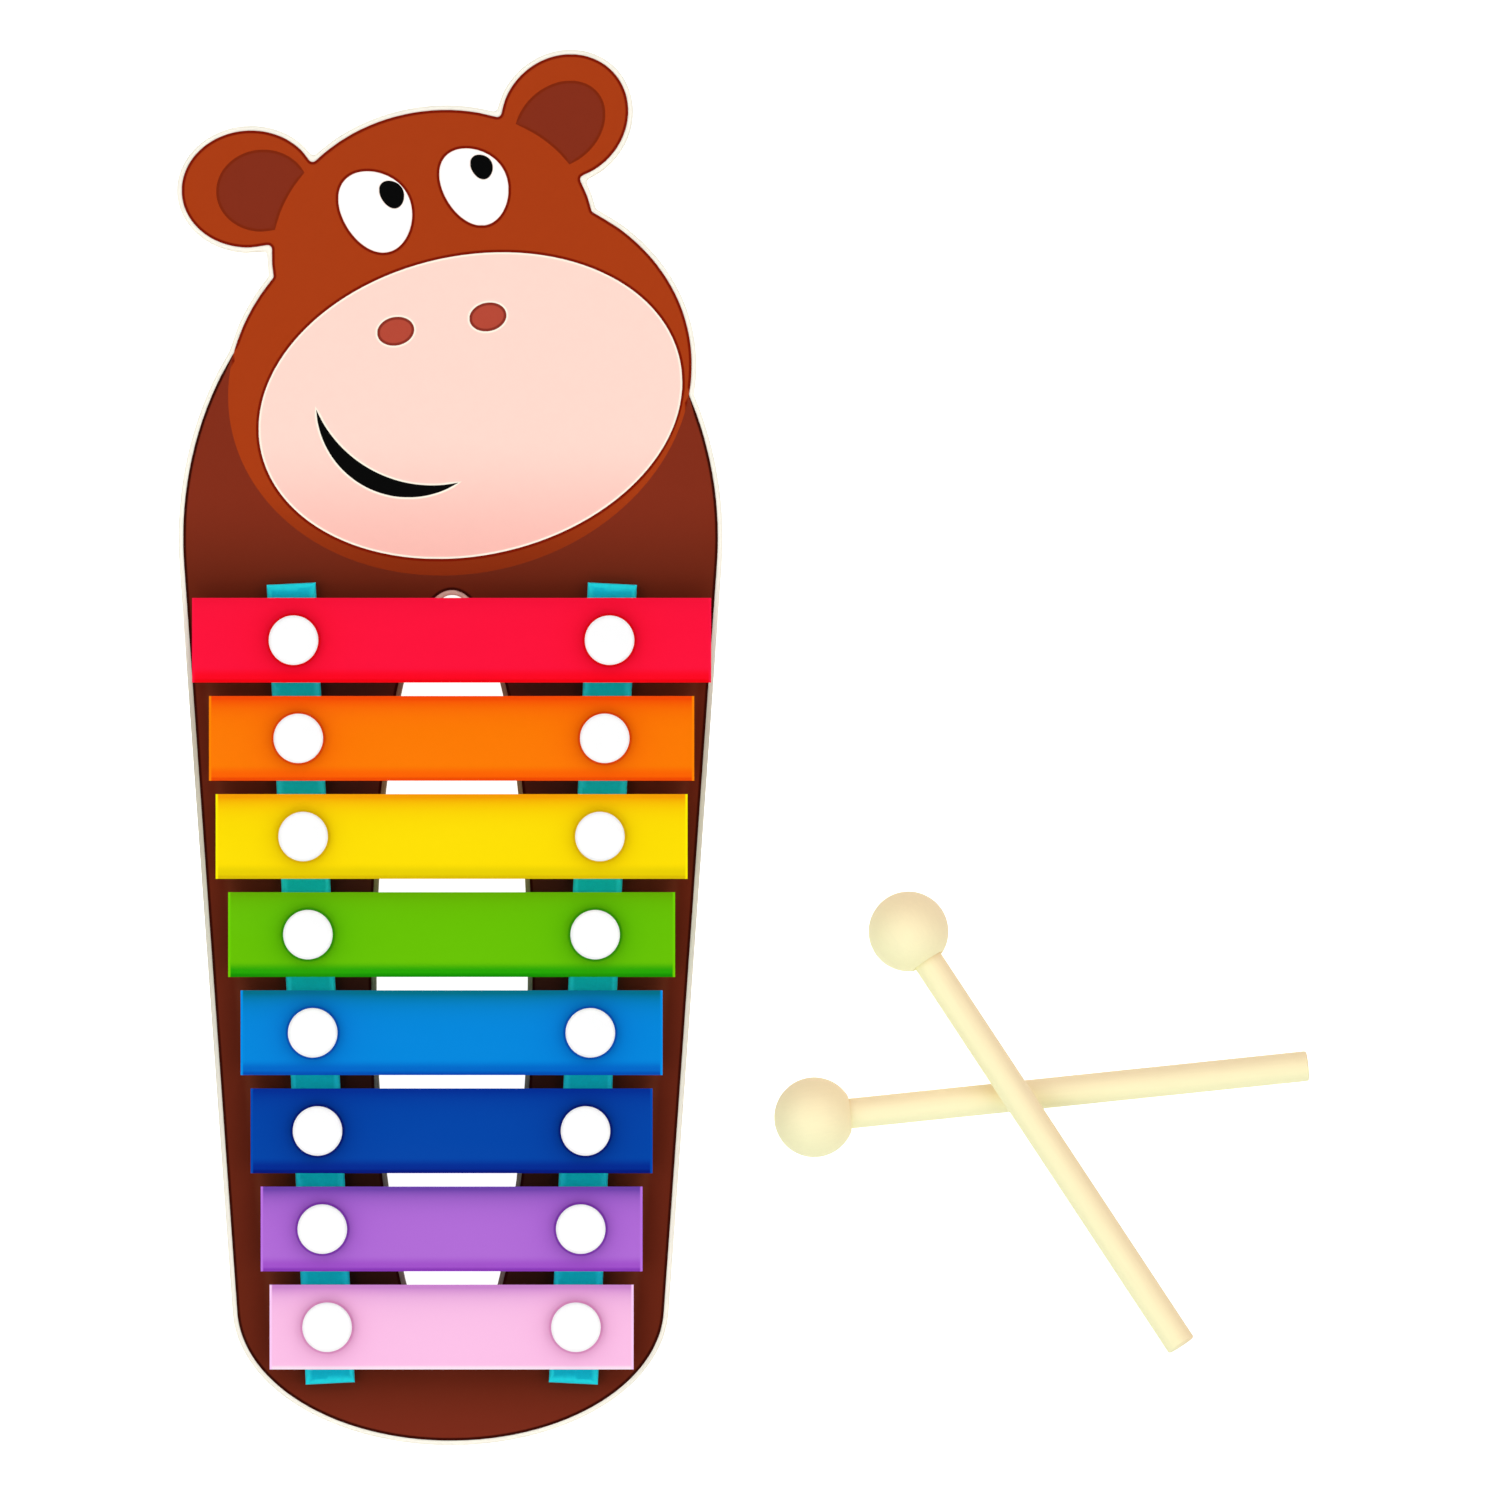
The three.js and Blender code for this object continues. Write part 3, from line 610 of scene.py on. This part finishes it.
def arc(radius, height, reach, rise, upper=True):
    """Points of a quarter of an ellipse about (radius, height): side to top, or else bottom to side."""
    start = 0.0 if upper else -pi / 2
    turns = np.linspace(start, start + pi / 2, ROUND_STEPS + 1)
    return [(radius + reach * cos(turn), height + rise * sin(turn)) for turn in turns]


def eased(low, high, radius, drop=None):
    """Rings for a plate whose two edges are rounded, as far down as across unless a drop is given."""
    drop = drop or radius
    lower = [(radius * LEVEL_SHARE, low), *arc(radius, low + drop, -radius, drop, upper=False)]
    upper = [(depth, low + high - height) for depth, height in reversed(lower)]
    return [(depth, height, 0) for depth, height in lower + upper]


def turned(profile):
    """A solid of revolution about Z, from its profile of radius and height, from axis to axis."""
    mesh = bmesh.new()
    angles = [step / SPIN_STEPS * 2 * pi for step in range(SPIN_STEPS)]
    rows = []
    for radius, height in profile:
        if radius < WELD:
            rows.append([mesh.verts.new((0, 0, height))] * SPIN_STEPS)
        else:
            rows.append([mesh.verts.new((radius * cos(a), radius * sin(a), height)) for a in angles])
    wall(mesh, rows)
    return mesh


def stand_for(node, form, mesh, finish):
    """Makes the mesh a piece that rides with its node, stands for it and has its slot."""
    name = f"{node}_{form}"
    data = bpy.data.meshes.new(name)
    mesh.to_mesh(data)
    mesh.free()
    data.shade_smooth()
    data.set_sharp_from_angle(angle=CREASE)
    data.materials.append(finish)
    piece = bpy.data.objects.new(name, data)
    bpy.context.collection.objects.link(piece)
    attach(piece, BODY_OF[node])
    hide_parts(node)
    return piece


# Shader nodes


class Nodes:
    """A node tree in the making."""

    def __init__(self, tree):
        self.tree = tree

    def feed(self, socket, value):
        """Links a socket to a node's output, or sets it to a plain value."""
        if isinstance(value, NodeSocket):
            self.tree.links.new(value, socket)
        elif socket.type == "RGBA" and len(value) == 3:
            socket.default_value = (*value, 1.0)
        else:
            socket.default_value = value

    def node(self, kind, *values, **settings):
        """Adds a node, and feeds its sockets in order; None leaves one as it is."""
        node = self.tree.nodes.new("ShaderNode" + kind)
        for name, value in settings.items():
            setattr(node, name, value)
        for socket, value in zip(node.inputs, values):
            if value is not None:
                self.feed(socket, value)
        return node

    def math(self, operation, *values):
        """The result of a sum on numbers."""
        return self.node("Math", *values, operation=operation).outputs[0]

    def vector(self, operation, output, *values):
        """The result of a sum on vectors."""
        return self.node("VectorMath", *values, operation=operation).outputs[output]

    def span(self, value, low, high, start=0.0, stop=1.0):
        """A number from start to stop, as the value goes from low to high, eased at both ends."""
        values = (value, low, high, start, stop)
        return self.node("MapRange", *values, interpolation_type="SMOOTHSTEP").outputs[0]


class Finish(Nodes):
    """A node material in the making."""

    def __init__(self, name):
        self.material = bpy.data.materials.new(name)
        self.material.use_nodes = True
        super().__init__(self.material.node_tree)
        self.surface = self.tree.nodes["Principled BSDF"]
        self.place = self.node("TexCoord").outputs["Object"]
        self.noises = {}

    def part(self, axis):
        """How far along an axis a place lies."""
        return self.node("SeparateXYZ", self.place).outputs[axis]

    def along(self, way):
        """How far along a way a place lies."""
        return self.vector("DOT_PRODUCT", "Value", self.place, way)

    def line(self):
        """How much of the edge line a place carries."""
        return self.node("Attribute", attribute_name="line").outputs["Fac"]

    def within(self, corners, soft):
        """1 well inside a convex outline that runs anticlockwise, and 0 outside it."""
        share = 1.0
        for start, stop in zip(corners, corners[1:] + corners[:1]):
            way = (stop - start).orthogonal().normalized().to_3d()
            side = way.dot(start.to_3d())
            share = self.math("MULTIPLY", share, self.span(self.along(way), side, side + soft))
        return share

    def blend(self, share, first, second):
        """Two colours mixed."""
        other_kinds = [None] * 5
        return self.node("Mix", share, *other_kinds, first, second, data_type="RGBA").outputs[2]

    def fade(self, first, second, start, stop):
        """Two colours that change from one to the other between two places along the row."""
        return self.blend(self.span(self.part("Y"), start, stop), first, second)

    def noise(self, grain):
        """A grain's noise from 0 to 1."""
        if grain not in self.noises:
            place = self.place
            if grain.stretch:
                place = self.node("Mapping", place, None, None, grain.stretch).outputs[0]
            node = self.node("TexNoise", place, None, grain.waves, grain.detail, grain.crisp)
            self.noises[grain] = node.outputs[0]
        return self.noises[grain]

    def between(self, noise, low, high):
        """A number from low to high, as a noise goes from 0 to 1."""
        return self.node("MapRange", noise, 0.0, 1.0, low, high).outputs[0]

    def toned(self, base, grain, noise=None):
        """A colour made a little lighter and darker by a grain, or as much by another noise."""
        share = grain.tone_share
        shade = self.between(noise or self.noise(grain), 1 - share, 1 + share)
        return self.vector("SCALE", 0, base, None, None, shade)

    def bump(self, grain, noise=None):
        """The relief of a grain, or one as deep of another noise."""
        node = self.node("Bump", 1.0, grain.relief)
        self.feed(node.inputs["Height"], noise or self.noise(grain))
        self.feed(self.surface.inputs["Normal"], node.outputs[0])

    def rough(self, grain):
        """The roughness that a grain gives."""
        return self.between(self.noise(grain), *grain.rough)

    def done(self, base, **sockets):
        """Feeds the surface its colour and its other sockets, and gives the material."""
        self.feed(self.surface.inputs["Base Color"], base)
        for name, value in sockets.items():
            self.feed(self.surface.inputs[name.replace("_", " ")], value)
        return self.material


def plywood(settings, low, high, bars_high):
    """Pale plywood with long grain on the faces and layers along the edge, with painted shade on the
    rounded upper edge beside the bars and on the slot's edge, lighter at its tip.
    """
    finish = Finish("pale_plywood")
    height = finish.part("Z")
    along = finish.part("Y")
    down = finish.math("SUBTRACT", high.z, height)
    below = finish.math("MINIMUM", down, finish.math("SUBTRACT", height, low.z))
    half = settings.glue / 2
    inside = finish.span(below, settings.veneer - half, settings.veneer + half)
    layer = finish.math("DIVIDE", finish.math("SUBTRACT", below, settings.veneer), settings.ply)
    cross = finish.span(finish.math("PINGPONG", layer, 1.0), *LAYER_SHARES)
    cross = finish.math("MULTIPLY", cross, settings.layer_share)
    rim = finish.span(height, high.z - settings.ply, high.z - settings.veneer)
    # Painted shade: the rounded upper edge takes a darker tone beside the bars
    rim_shade = finish.math("MULTIPLY", finish.span(along, bars_high, bars_high - settings.rim_shade_reach), rim)
    rim_shade = finish.math("MULTIPLY", rim_shade, finish.span(along, low.y, bars_high))
    face = finish.blend(rim_shade, settings.pale, settings.rim_shade_tone)
    base = finish.blend(inside, face, finish.blend(cross, settings.core, settings.pale))
    # Painted shade on the slot's edge, lit at the tip above the first bar
    tip = finish.math("MULTIPLY", finish.span(along, bars_high - settings.tip, bars_high), rim)
    slot = finish.blend(tip, settings.slot_shade, settings.slot_tip_lit)
    base = finish.blend(finish.line(), base, slot)
    for grain in (BOARD_FIGURE, BOARD_GRAIN, BOARD_PORES):
        base = finish.toned(base, grain)
    finish.bump(BOARD_GRAIN, finish.math("ADD", finish.noise(BOARD_GRAIN), finish.noise(BOARD_PORES)))
    return finish.done(base, Roughness=0.55, Specular_IOR_Level=0.3)


def printed(name, base, line):
    """Satin ink on the smooth board, with a thin line along the edges that carry one."""
    finish = Finish(name)
    base = finish.toned(base(finish) if callable(base) else base, INK_MOTTLE)
    if line is not None:
        base = finish.blend(finish.line(), base, line)
    finish.bump(INK_FILM)
    return finish.done(base, Roughness=finish.rough(INK_SHEEN), Specular_IOR_Level=0.1)


def felted(settings, first, last):
    """Pressed felt with short fibres that lie every way, with painted light and shade along the row and a
    painted highlight along its cut edges.
    """
    finish = Finish("teal_felt")
    # Painted light and shade along the row of the felt
    base = finish.fade(settings.felt, settings.felt_between, first, first - settings.blend)
    base = finish.fade(base, settings.felt_tail, last, last - settings.blend)
    # Painted highlight along the cut edges
    edge = finish.math("MULTIPLY", finish.line(), settings.edge_highlight_share)
    base = finish.toned(finish.blend(edge, base, settings.edge_highlight), FELT_CLOUD)
    nap = finish.math("MAXIMUM", finish.noise(FELT_FIBRES), finish.noise(FELT_STRANDS))
    base = finish.toned(base, FELT_FIBRES, nap)
    finish.bump(FELT_FIBRES, nap)
    return finish.done(base, Roughness=0.92, Specular_IOR_Level=0.1, Sheen_Weight=0.05, Sheen_Roughness=0.5)


def shaded(own, beside, left_share, added_share):
    """A bar's colour where its neighbour shades it and throws its own colour on it."""
    return [mine * (left_share + added_share * other) for mine, other in zip(own, beside)]


def deepened(own, power, share=1.0):
    """A share of a colour that a power makes deeper."""
    return [tone**power * share for tone in own]


def bar_tones(index, settings):
    """A bar's painted shade and painted reflections along its upper edge and in its lower band, and the
    line at its lower edge: painted shade, or on the last bar a painted highlight.
    """
    own = getattr(settings, BARS[index])
    above = getattr(settings, BARS[index - 1]) if index else WHITE
    upper = shaded(own, above, settings.shade_share, settings.bounce_share)
    # The last bar has no painted band, and a painted highlight along its lower edge
    if index + 1 == len(BARS):
        return upper, own, [mine + (1 - mine) * settings.glint_share for mine in own]
    deep = settings.green_band if BARS[index] == "green" else deepened(own, settings.band_depth)
    below = getattr(settings, BARS[index + 1])
    lower = shaded(deep, below, settings.band_share, settings.band_bounce_share)
    return upper, lower, deepened(lower, settings.band_depth, settings.hem_share)


def enamelled(index, settings):
    """Baked enamel with painted shade and painted reflections of its neighbours along its edges, painted
    highlights along its ends and painted shadow round its caps.
    """
    name = BARS[index]
    finish = Finish(f"{name}_enamel")
    low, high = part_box(f"{name}_bar")
    own = getattr(settings, name)
    upper, lower, hem_shade_tone = bar_tones(index, settings)
    across, along = finish.part("Y"), finish.part("X")
    # Painted shade and painted reflection of the bar below, along the lower edge, with a darker painted
    # shade line at the edge
    foot = finish.span(across, low.y + settings.band, low.y + settings.band_core)
    base = finish.blend(foot, own, lower)
    hem = finish.span(across, low.y + settings.hem, low.y + settings.hem_core)
    base = finish.blend(hem, base, hem_shade_tone)
    # Painted shade and painted reflection of the bar above, along the upper edge
    depth = finish.math("SUBTRACT", across, high.y - settings.lip)
    top = finish.math("EXPONENT", finish.math("DIVIDE", depth, settings.fade))
    base = finish.blend(finish.math("MINIMUM", top, 1.0), base, upper)
    # Painted highlight along both ends
    half = settings.gleam_blur / 2
    gleam_highlight = [min(1.0, mine * settings.gleam_gain) for mine in own]
    for end in (low.x, high.x):
        far = finish.math("ABSOLUTE", finish.math("SUBTRACT", along, end))
        base = finish.blend(finish.span(far, settings.gleam + half, settings.gleam - half), base, gleam_highlight)
    # Painted contact shadow round each cap, and a softer painted shade beyond it
    cap_shadow_tone = deepened(own, settings.ring_depth, settings.ring_share)
    flat = finish.node("CombineXYZ", along, across).outputs[0]
    for left, right in pin_boxes(name):
        middle = (left + right).xy.to_3d() / 2
        start = (right - left).x / 2 + settings.ring
        far = finish.vector("DISTANCE", "Value", flat, middle)
        ring = finish.span(far, start + settings.ring_blur, start)
        fall = finish.math("DIVIDE", finish.math("SUBTRACT", start, far), settings.halo)
        halo = finish.math("MULTIPLY", finish.math("EXPONENT", fall), settings.halo_share)
        base = finish.blend(finish.math("MAXIMUM", ring, halo), base, cap_shadow_tone)
    base = finish.toned(base, ENAMEL_CLOUD)
    finish.bump(ENAMEL_PEEL)
    rough = finish.rough(ENAMEL_CLOUD)
    return finish.done(base, Roughness=rough, Specular_IOR_Level=0.3, Coat_Weight=0.4, Coat_Roughness=0.1)


def moulded(settings):
    """Smooth white plastic with a faint flow pattern and fine scratches."""
    finish = Finish("white_plastic")
    base = finish.toned(settings.plastic, PLASTIC_FLOW)
    finish.bump(PLASTIC_SCRATCHES)
    return finish.done(base, Roughness=finish.rough(PLASTIC_FLOW), Specular_IOR_Level=0.4)


def sanded(name, axis, side, middle, width, settings):
    """Sanded wood with its grain along the axis, with painted light: paler on one side and a warmer painted
    shade on the other.
    """
    finish = Finish(name)
    # Painted light and shade across the piece
    place = middle.dot(side)
    shade_tint = finish.span(finish.along(side), place - width, place + width)
    base = finish.blend(shade_tint, settings.pale, settings.shade_tint)
    turn = finish.node("VectorRotate", finish.place, rotation_type="EULER_XYZ", invert=True)
    finish.feed(turn.inputs["Rotation"], UP.rotation_difference(axis).to_euler())
    finish.place = turn.outputs[0]
    base = finish.toned(base, MALLET_GRAIN)
    finish.bump(MALLET_GRAIN, finish.math("ADD", finish.noise(MALLET_GRAIN), finish.noise(MALLET_PORES)))
    return finish.done(base, Roughness=finish.rough(MALLET_GRAIN), Specular_IOR_Level=0.2)


# Operators, one for each piece or group of like pieces


class BuildStep:
    """What all the operators share."""

    bl_options = {"REGISTER", "UNDO"}


class XYLO_OT_board(BuildStep, Operator):
    """Cut the plywood board with its rounded rim, its slot and its blind bores"""

    bl_idname = "xylophone.board"
    bl_label = "Board"

    def execute(self, context):
        settings = context.scene.xylophone_board
        low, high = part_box("board")
        edges = outlines("board", high.z - settings.rim)
        bores = outlines("board", high.z)[len(edges):]
        rings = eased(low.z, high.z, settings.rim, settings.rim_drop)
        mesh = plate(edges, rings, bores, high.z - settings.bore_depth)
        line = mesh.verts.layers.float["line"]
        # The line marks the slot's edge, which carries the painted shade
        around_slot = moved(edges[1], settings.rim * (1 + LEVEL_SHARE) / 2)
        for vert in mesh.verts:
            vert[line] = float(encloses(around_slot, vert.co.xy))
        stand_for("board", "plywood", mesh, plywood(settings, low, high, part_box("red_bar")[1].y))
        return {"FINISHED"}


class XYLO_OT_print(BuildStep, Operator):
    """Print the animal's body, head and face on the board"""

    bl_idname = "xylophone.print"
    bl_label = "Print"

    def execute(self, context):
        settings = context.scene.xylophone_print
        rows = {}
        for field, row in self.fields(settings).items():
            rows.update({node: row for node in SLOT_OF if node.endswith(f"{field}_print")})
        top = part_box("body_print")[1].z
        edges = {node: outlines(node, top) for node in rows}
        for node, (base, line, width, seams) in rows.items():
            rings = [(0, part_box(node)[0].z, 1), (0, top, 1)]
            if width:
                rings += [(width, top, 1), (width + settings.blur, top, 0)]
            bare = [point for seam in seams for point in edges[f"{seam}_print"][0]]
            mesh = plate(edges[node], rings, bare=bare)
            stand_for(node, "ink", mesh, printed(node.replace("_print", "_ink"), base, line))
        return {"FINISHED"}

    def fields(self, settings):
        """Each kind of field: its colour, its line's colour and width, and the seams that have none."""
        low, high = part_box("muzzle_print")
        flush = low.y + (high.y - low.y) * settings.flush_share
        jaw = low.y + (high.y - low.y) * settings.jaw_share
        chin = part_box("head_print")[0].y
        width = settings.line

        def muzzle(finish):
            return finish.fade(settings.peach, settings.peach_low, flush, low.y)

        # Painted shade: the head darkens from the jaw down to the chin
        def head(finish):
            return finish.fade(settings.russet, settings.russet_low, jaw, chin)

        return {
            "body": (lambda finish: self.body(finish, settings), settings.black_line, width, ["head"]),
            "head": (head, settings.red_line, width, ["body", "left_ear", "right_ear"]),
            "ear": (settings.inner_ear, settings.ear_line, width, []),
            "muzzle": (muzzle, settings.pale_line, settings.glow, []),
            "nostril": (settings.nostril, settings.nostril_line, width, []),
            "mouth": (settings.black, None, 0.0, []),
            "eye": (settings.white, settings.eye_line, settings.bleed, []),
            "pupil": (settings.black, None, 0.0, []),
        }

    def body(self, finish, settings):
        """The body's brown, with painted shade: darker by the bars, under their ends and between the
        strips.
        """
        low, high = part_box("body_print")
        bars = [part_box(f"{name}_bar") for name in (BARS[0], BARS[-1])]
        pins = [pin_boxes(name) for name in (BARS[0], BARS[-1])]
        first, last = bars[0][1].y, bars[1][0].y
        ends = tapered([[box[0].x, box[1].x] for box in bars], first, last)
        middles = tapered([[(box[0].x + box[1].x) / 2 for box in pair] for pair in pins], first, last)
        # Painted shade: the body darkens towards the bars and stays darker below the last one
        start = first + (high.y - first) * settings.shoulder_share
        base = finish.fade(settings.brown, settings.brown_low, start, first)
        base = finish.fade(base, settings.brown_tail, last, low.y)
        # Painted shade under the ends of the bars and, deeper, between the strips
        base = finish.blend(finish.within(ends, settings.soft), base, settings.under)
        deep = finish.fade(settings.between, settings.between_low, first, last)
        return finish.blend(finish.within(middles, settings.soft), base, deep)


class XYLO_OT_strips(BuildStep, Operator):
    """Lay the two felt strips, pressed in where the bars lie on them"""

    bl_idname = "xylophone.strips"
    bl_label = "Felt strips"

    def execute(self, context):
        settings = context.scene.xylophone_strips
        spans = [[corner.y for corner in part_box(f"{bar}_bar")] for bar in BARS]
        finish = felted(settings, spans[0][1], spans[-1][1])
        for side in SIDES:
            node = f"{side}_strip"
            low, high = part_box(node)
            loops = [divided(loop, settings.grid) for loop in outlines(node, high.z)]
            # Every ring of the rounded edge carries the line, which takes the painted highlight
            rings = [(depth, height, 1) for depth, height, ink in eased(low.z, high.z, settings.edge)]
            mesh = plate(loops, rings, inner=scattered(loops, settings.margin, settings.grid))
            for vert in mesh.verts:
                inside = max(min(vert.co.y - near, far - vert.co.y) for near, far in spans)
                pressed_share = np.clip((inside + settings.grid / 2) / settings.grid, 0, 1)
                height_share = (vert.co.z - low.z) / (high.z - low.z)
                vert.co.z -= settings.sink * pressed_share * height_share
            stand_for(node, "felt", mesh, finish)
        return {"FINISHED"}


class XYLO_OT_bars(BuildStep, Operator):
    """Press and enamel the eight metal bars"""

    bl_idname = "xylophone.bars"
    bl_label = "Bars"

    def execute(self, context):
        settings = context.scene.xylophone_bars
        for index, name in enumerate(BARS):
            node = f"{name}_bar"
            low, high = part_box(node)
            loops = outlines(node, high.z - settings.edge)
            mesh = plate(loops, eased(low.z, high.z, settings.edge))
            stand_for(node, "plate", mesh, enamelled(index, settings))
        return {"FINISHED"}


class XYLO_OT_pins(BuildStep, Operator):
    """Mould the sixteen capped pins"""

    bl_idname = "xylophone.pins"
    bl_label = "Pins"

    def execute(self, context):
        settings = context.scene.xylophone_pins
        finish = moulded(settings)
        for name in BARS:
            for side in SIDES:
                node = f"{name}_bar_{side}_pin"
                low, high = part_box(node)
                mesh = turned(self.profile(settings, low, high))
                middle = (low + high) / 2
                bmesh.ops.translate(mesh, verts=mesh.verts, vec=(middle.x, middle.y, 0))
                stand_for(node, "moulding", mesh, finish)
        return {"FINISHED"}

    def profile(self, settings, low, high):
        """A stem, a shoulder that stands on the board, and a domed cap."""
        seat = low.z + settings.stem_length
        brow = high.z - settings.dome
        under = brow - settings.cap_edge
        cap = (high.x - low.x) / 2
        edge = settings.round_edge
        return [
            (0, low.z),
            (settings.stem_radius - edge, low.z),
            (settings.stem_radius, low.z + edge),
            (settings.stem_radius, seat),
            (settings.shoulder_radius, seat),
            (settings.shoulder_radius, under),
            *arc(cap - edge, under + edge, edge, edge, upper=False),
            *arc(0, brow, cap, settings.dome)[:-1],
            (0, high.z),
        ]


class XYLO_OT_mallets(BuildStep, Operator):
    """Turn the two wooden mallets"""

    bl_idname = "xylophone.mallets"
    bl_label = "Mallets"

    def execute(self, context):
        settings = context.scene.xylophone_mallets
        for name in ("lower", "upper"):
            head, handle = f"{name}_mallet_head", f"{name}_mallet_stick"
            start, axis, reach = stick_axis(handle, head)
            middle = start + axis * settings.socket_depth
            middle.z = max(middle.z, settings.ball_radius)
            place = Matrix.Translation(middle) @ UP.rotation_difference(axis).to_matrix().to_4x4()
            # The painted shade turns warmer across each stick towards the head, and across each ball along
            # its fixed side
            across = Vector((-axis.y, axis.x, 0)).normalized()
            if across.y < 0:
                across.negate()
            ball = (head, "bead", self.ball(settings), SHADE_TINT_SIDE, settings.ball_radius)
            stick = (handle, "dowel", self.stick(settings, reach), across, settings.stick_radius)
            for node, form, profile, side, width in (ball, stick):
                mesh = turned(profile)
                bmesh.ops.transform(mesh, verts=mesh.verts, matrix=place)
                wood = node.replace("mallet_", "") + "_wood"
                finish = sanded(wood, axis, side, middle, width, settings)
                stand_for(node, form, mesh, finish)
        return {"FINISHED"}

    def ball(self, settings):
        """A ball with its socket at the upper end."""
        ball, edge = settings.ball_radius, settings.soft_edge
        socket = settings.stick_radius + settings.socket_gap
        mouth = acos(socket / ball)
        lip = ball * sin(mouth) - edge
        floor = -settings.socket_depth - settings.socket_gap
        angles = np.linspace(-pi / 2, mouth - edge / ball, BALL_STEPS)[1:]
        curve = [(ball * cos(angle), ball * sin(angle)) for angle in angles]
        return [(0, -ball), *curve, (socket, lip), (socket, floor), (0, floor)]

    def stick(self, settings, reach):
        """A round stick that starts in the socket."""
        stick, edge = settings.stick_radius, settings.soft_edge
        low = -settings.socket_depth
        high = low + reach
        start = [(0, low), (stick - edge, low), (stick, low + edge), (stick, high - edge)]
        return [*start, *arc(stick - edge, high - edge, edge, edge)[1:], (0, high)]


class XYLO_OT_stage(BuildStep, Operator):
    """Set the pale floor, the soft lights and the camera"""

    bl_idname = "xylophone.stage"
    bl_label = "Stage"

    def execute(self, context):
        settings = context.scene.xylophone_stage
        self.floor(context, settings)
        self.world(context, settings)
        self.lights(context, settings)
        self.camera(context, settings)
        context.scene.view_settings.view_transform = "Standard"
        return {"FINISHED"}

    def floor(self, context, settings):
        """A pale floor that lies just under the table line."""
        mesh = bmesh.new()
        half = settings.floor_size / 2
        signs = ((-1, -1), (1, -1), (1, 1), (-1, 1))
        mesh.faces.new([mesh.verts.new((x * half, y * half, -settings.floor_drop)) for x, y in signs])
        data = bpy.data.meshes.new("pale_floor")
        mesh.to_mesh(data)
        mesh.free()
        finish = Finish("pale_floor")
        glow = {"Emission_Color": WHITE, "Emission_Strength": settings.floor_glow}
        base = finish.toned(settings.floor, FLOOR_CLOUD)
        data.materials.append(finish.done(base, Roughness=0.9, Specular_IOR_Level=0.0, **glow))
        floor = bpy.data.objects.new("pale_floor", data)
        floor.visible_diffuse = False
        floor.visible_glossy = False
        context.collection.objects.link(floor)

    def world(self, context, settings):
        """Even light that is brightest at the horizon, and light from below as off the floor."""
        world = bpy.data.worlds.new("even_light")
        world.use_nodes = True
        sky = Nodes(world.node_tree)
        height = sky.node("SeparateXYZ", sky.node("TexCoord").outputs["Generated"]).outputs["Z"]
        above = sky.span(height, 0.0, 1.0, settings.ambient, 0.0)
        below = sky.span(height, 0.0, -settings.dusk_share, 0.0, settings.bounce - settings.ambient)
        background = sky.tree.nodes["Background"]
        sky.feed(background.inputs["Color"], WHITE)
        sky.feed(background.inputs["Strength"], sky.math("ADD", above, below))
        context.scene.world = world

    def lights(self, context, settings):
        """Soft lights all round and none straight above, so flat tops keep their colour."""
        slant = Vector((cos(settings.light_rise), 0, sin(settings.light_rise)))
        for name, (degrees, group) in LIGHTS.items():
            lamp = bpy.data.lights.new(f"{name}_light", "AREA")
            lamp.shape = "SQUARE"
            lamp.size = settings.light_size
            lamp.energy = getattr(settings, f"{group}_power")
            light = bpy.data.objects.new(f"{name}_light", lamp)
            way = Matrix.Rotation(radians(degrees), 3, "Z") @ slant
            light.location = way * settings.light_distance
            light.rotation_euler = way.to_track_quat("Z", "Y").to_euler()
            light.visible_camera = False
            context.collection.objects.link(light)

    def camera(self, context, settings):
        """A camera far above that looks straight down, with the head at the top."""
        lens = bpy.data.cameras.new("photo_camera")
        lens.sensor_width = settings.sensor
        lens.lens = settings.sensor * settings.camera_height / settings.view_width
        lens.clip_end = settings.floor_size
        camera = bpy.data.objects.new("photo_camera", lens)
        camera.location = (settings.view_x, settings.view_y, settings.camera_height)
        context.collection.objects.link(camera)
        context.scene.camera = camera


class XYLO_PT_panel(Panel):
    """Lists the operators that build the xylophone"""

    bl_label = "Xylophone"
    bl_idname = "XYLO_PT_panel"
    bl_space_type = "VIEW_3D"
    bl_region_type = "UI"
    bl_category = "Xylophone"

    def draw(self, context):
        for operator in STEPS:
            self.layout.operator(operator.bl_idname)


STEPS = {
    XYLO_OT_stage: StageSettings,
    XYLO_OT_board: BoardSettings,
    XYLO_OT_print: PrintSettings,
    XYLO_OT_strips: StripSettings,
    XYLO_OT_bars: BarSettings,
    XYLO_OT_pins: PinSettings,
    XYLO_OT_mallets: MalletSettings,
}


def register():
    """Registers the panel, and each operator with its settings."""
    for operator, group in STEPS.items():
        bpy.utils.register_class(group)
        setattr(Scene, operator.bl_idname.replace(".", "_"), PointerProperty(type=group))
        bpy.utils.register_class(operator)
    bpy.utils.register_class(XYLO_PT_panel)


def unregister():
    """Takes away what register added."""
    bpy.utils.unregister_class(XYLO_PT_panel)
    for operator, group in reversed(STEPS.items()):
        bpy.utils.unregister_class(operator)
        delattr(Scene, operator.bl_idname.replace(".", "_"))
        bpy.utils.unregister_class(group)


def main():
    """Builds every piece and the stage."""
    register()
    bpy.ops.xylophone.stage()
    bpy.ops.xylophone.board()
    bpy.ops.xylophone.print()
    bpy.ops.xylophone.strips()
    bpy.ops.xylophone.bars()
    bpy.ops.xylophone.pins()
    bpy.ops.xylophone.mallets()
    bpy.context.view_layer.update()


if __name__ == "__main__":
    main()
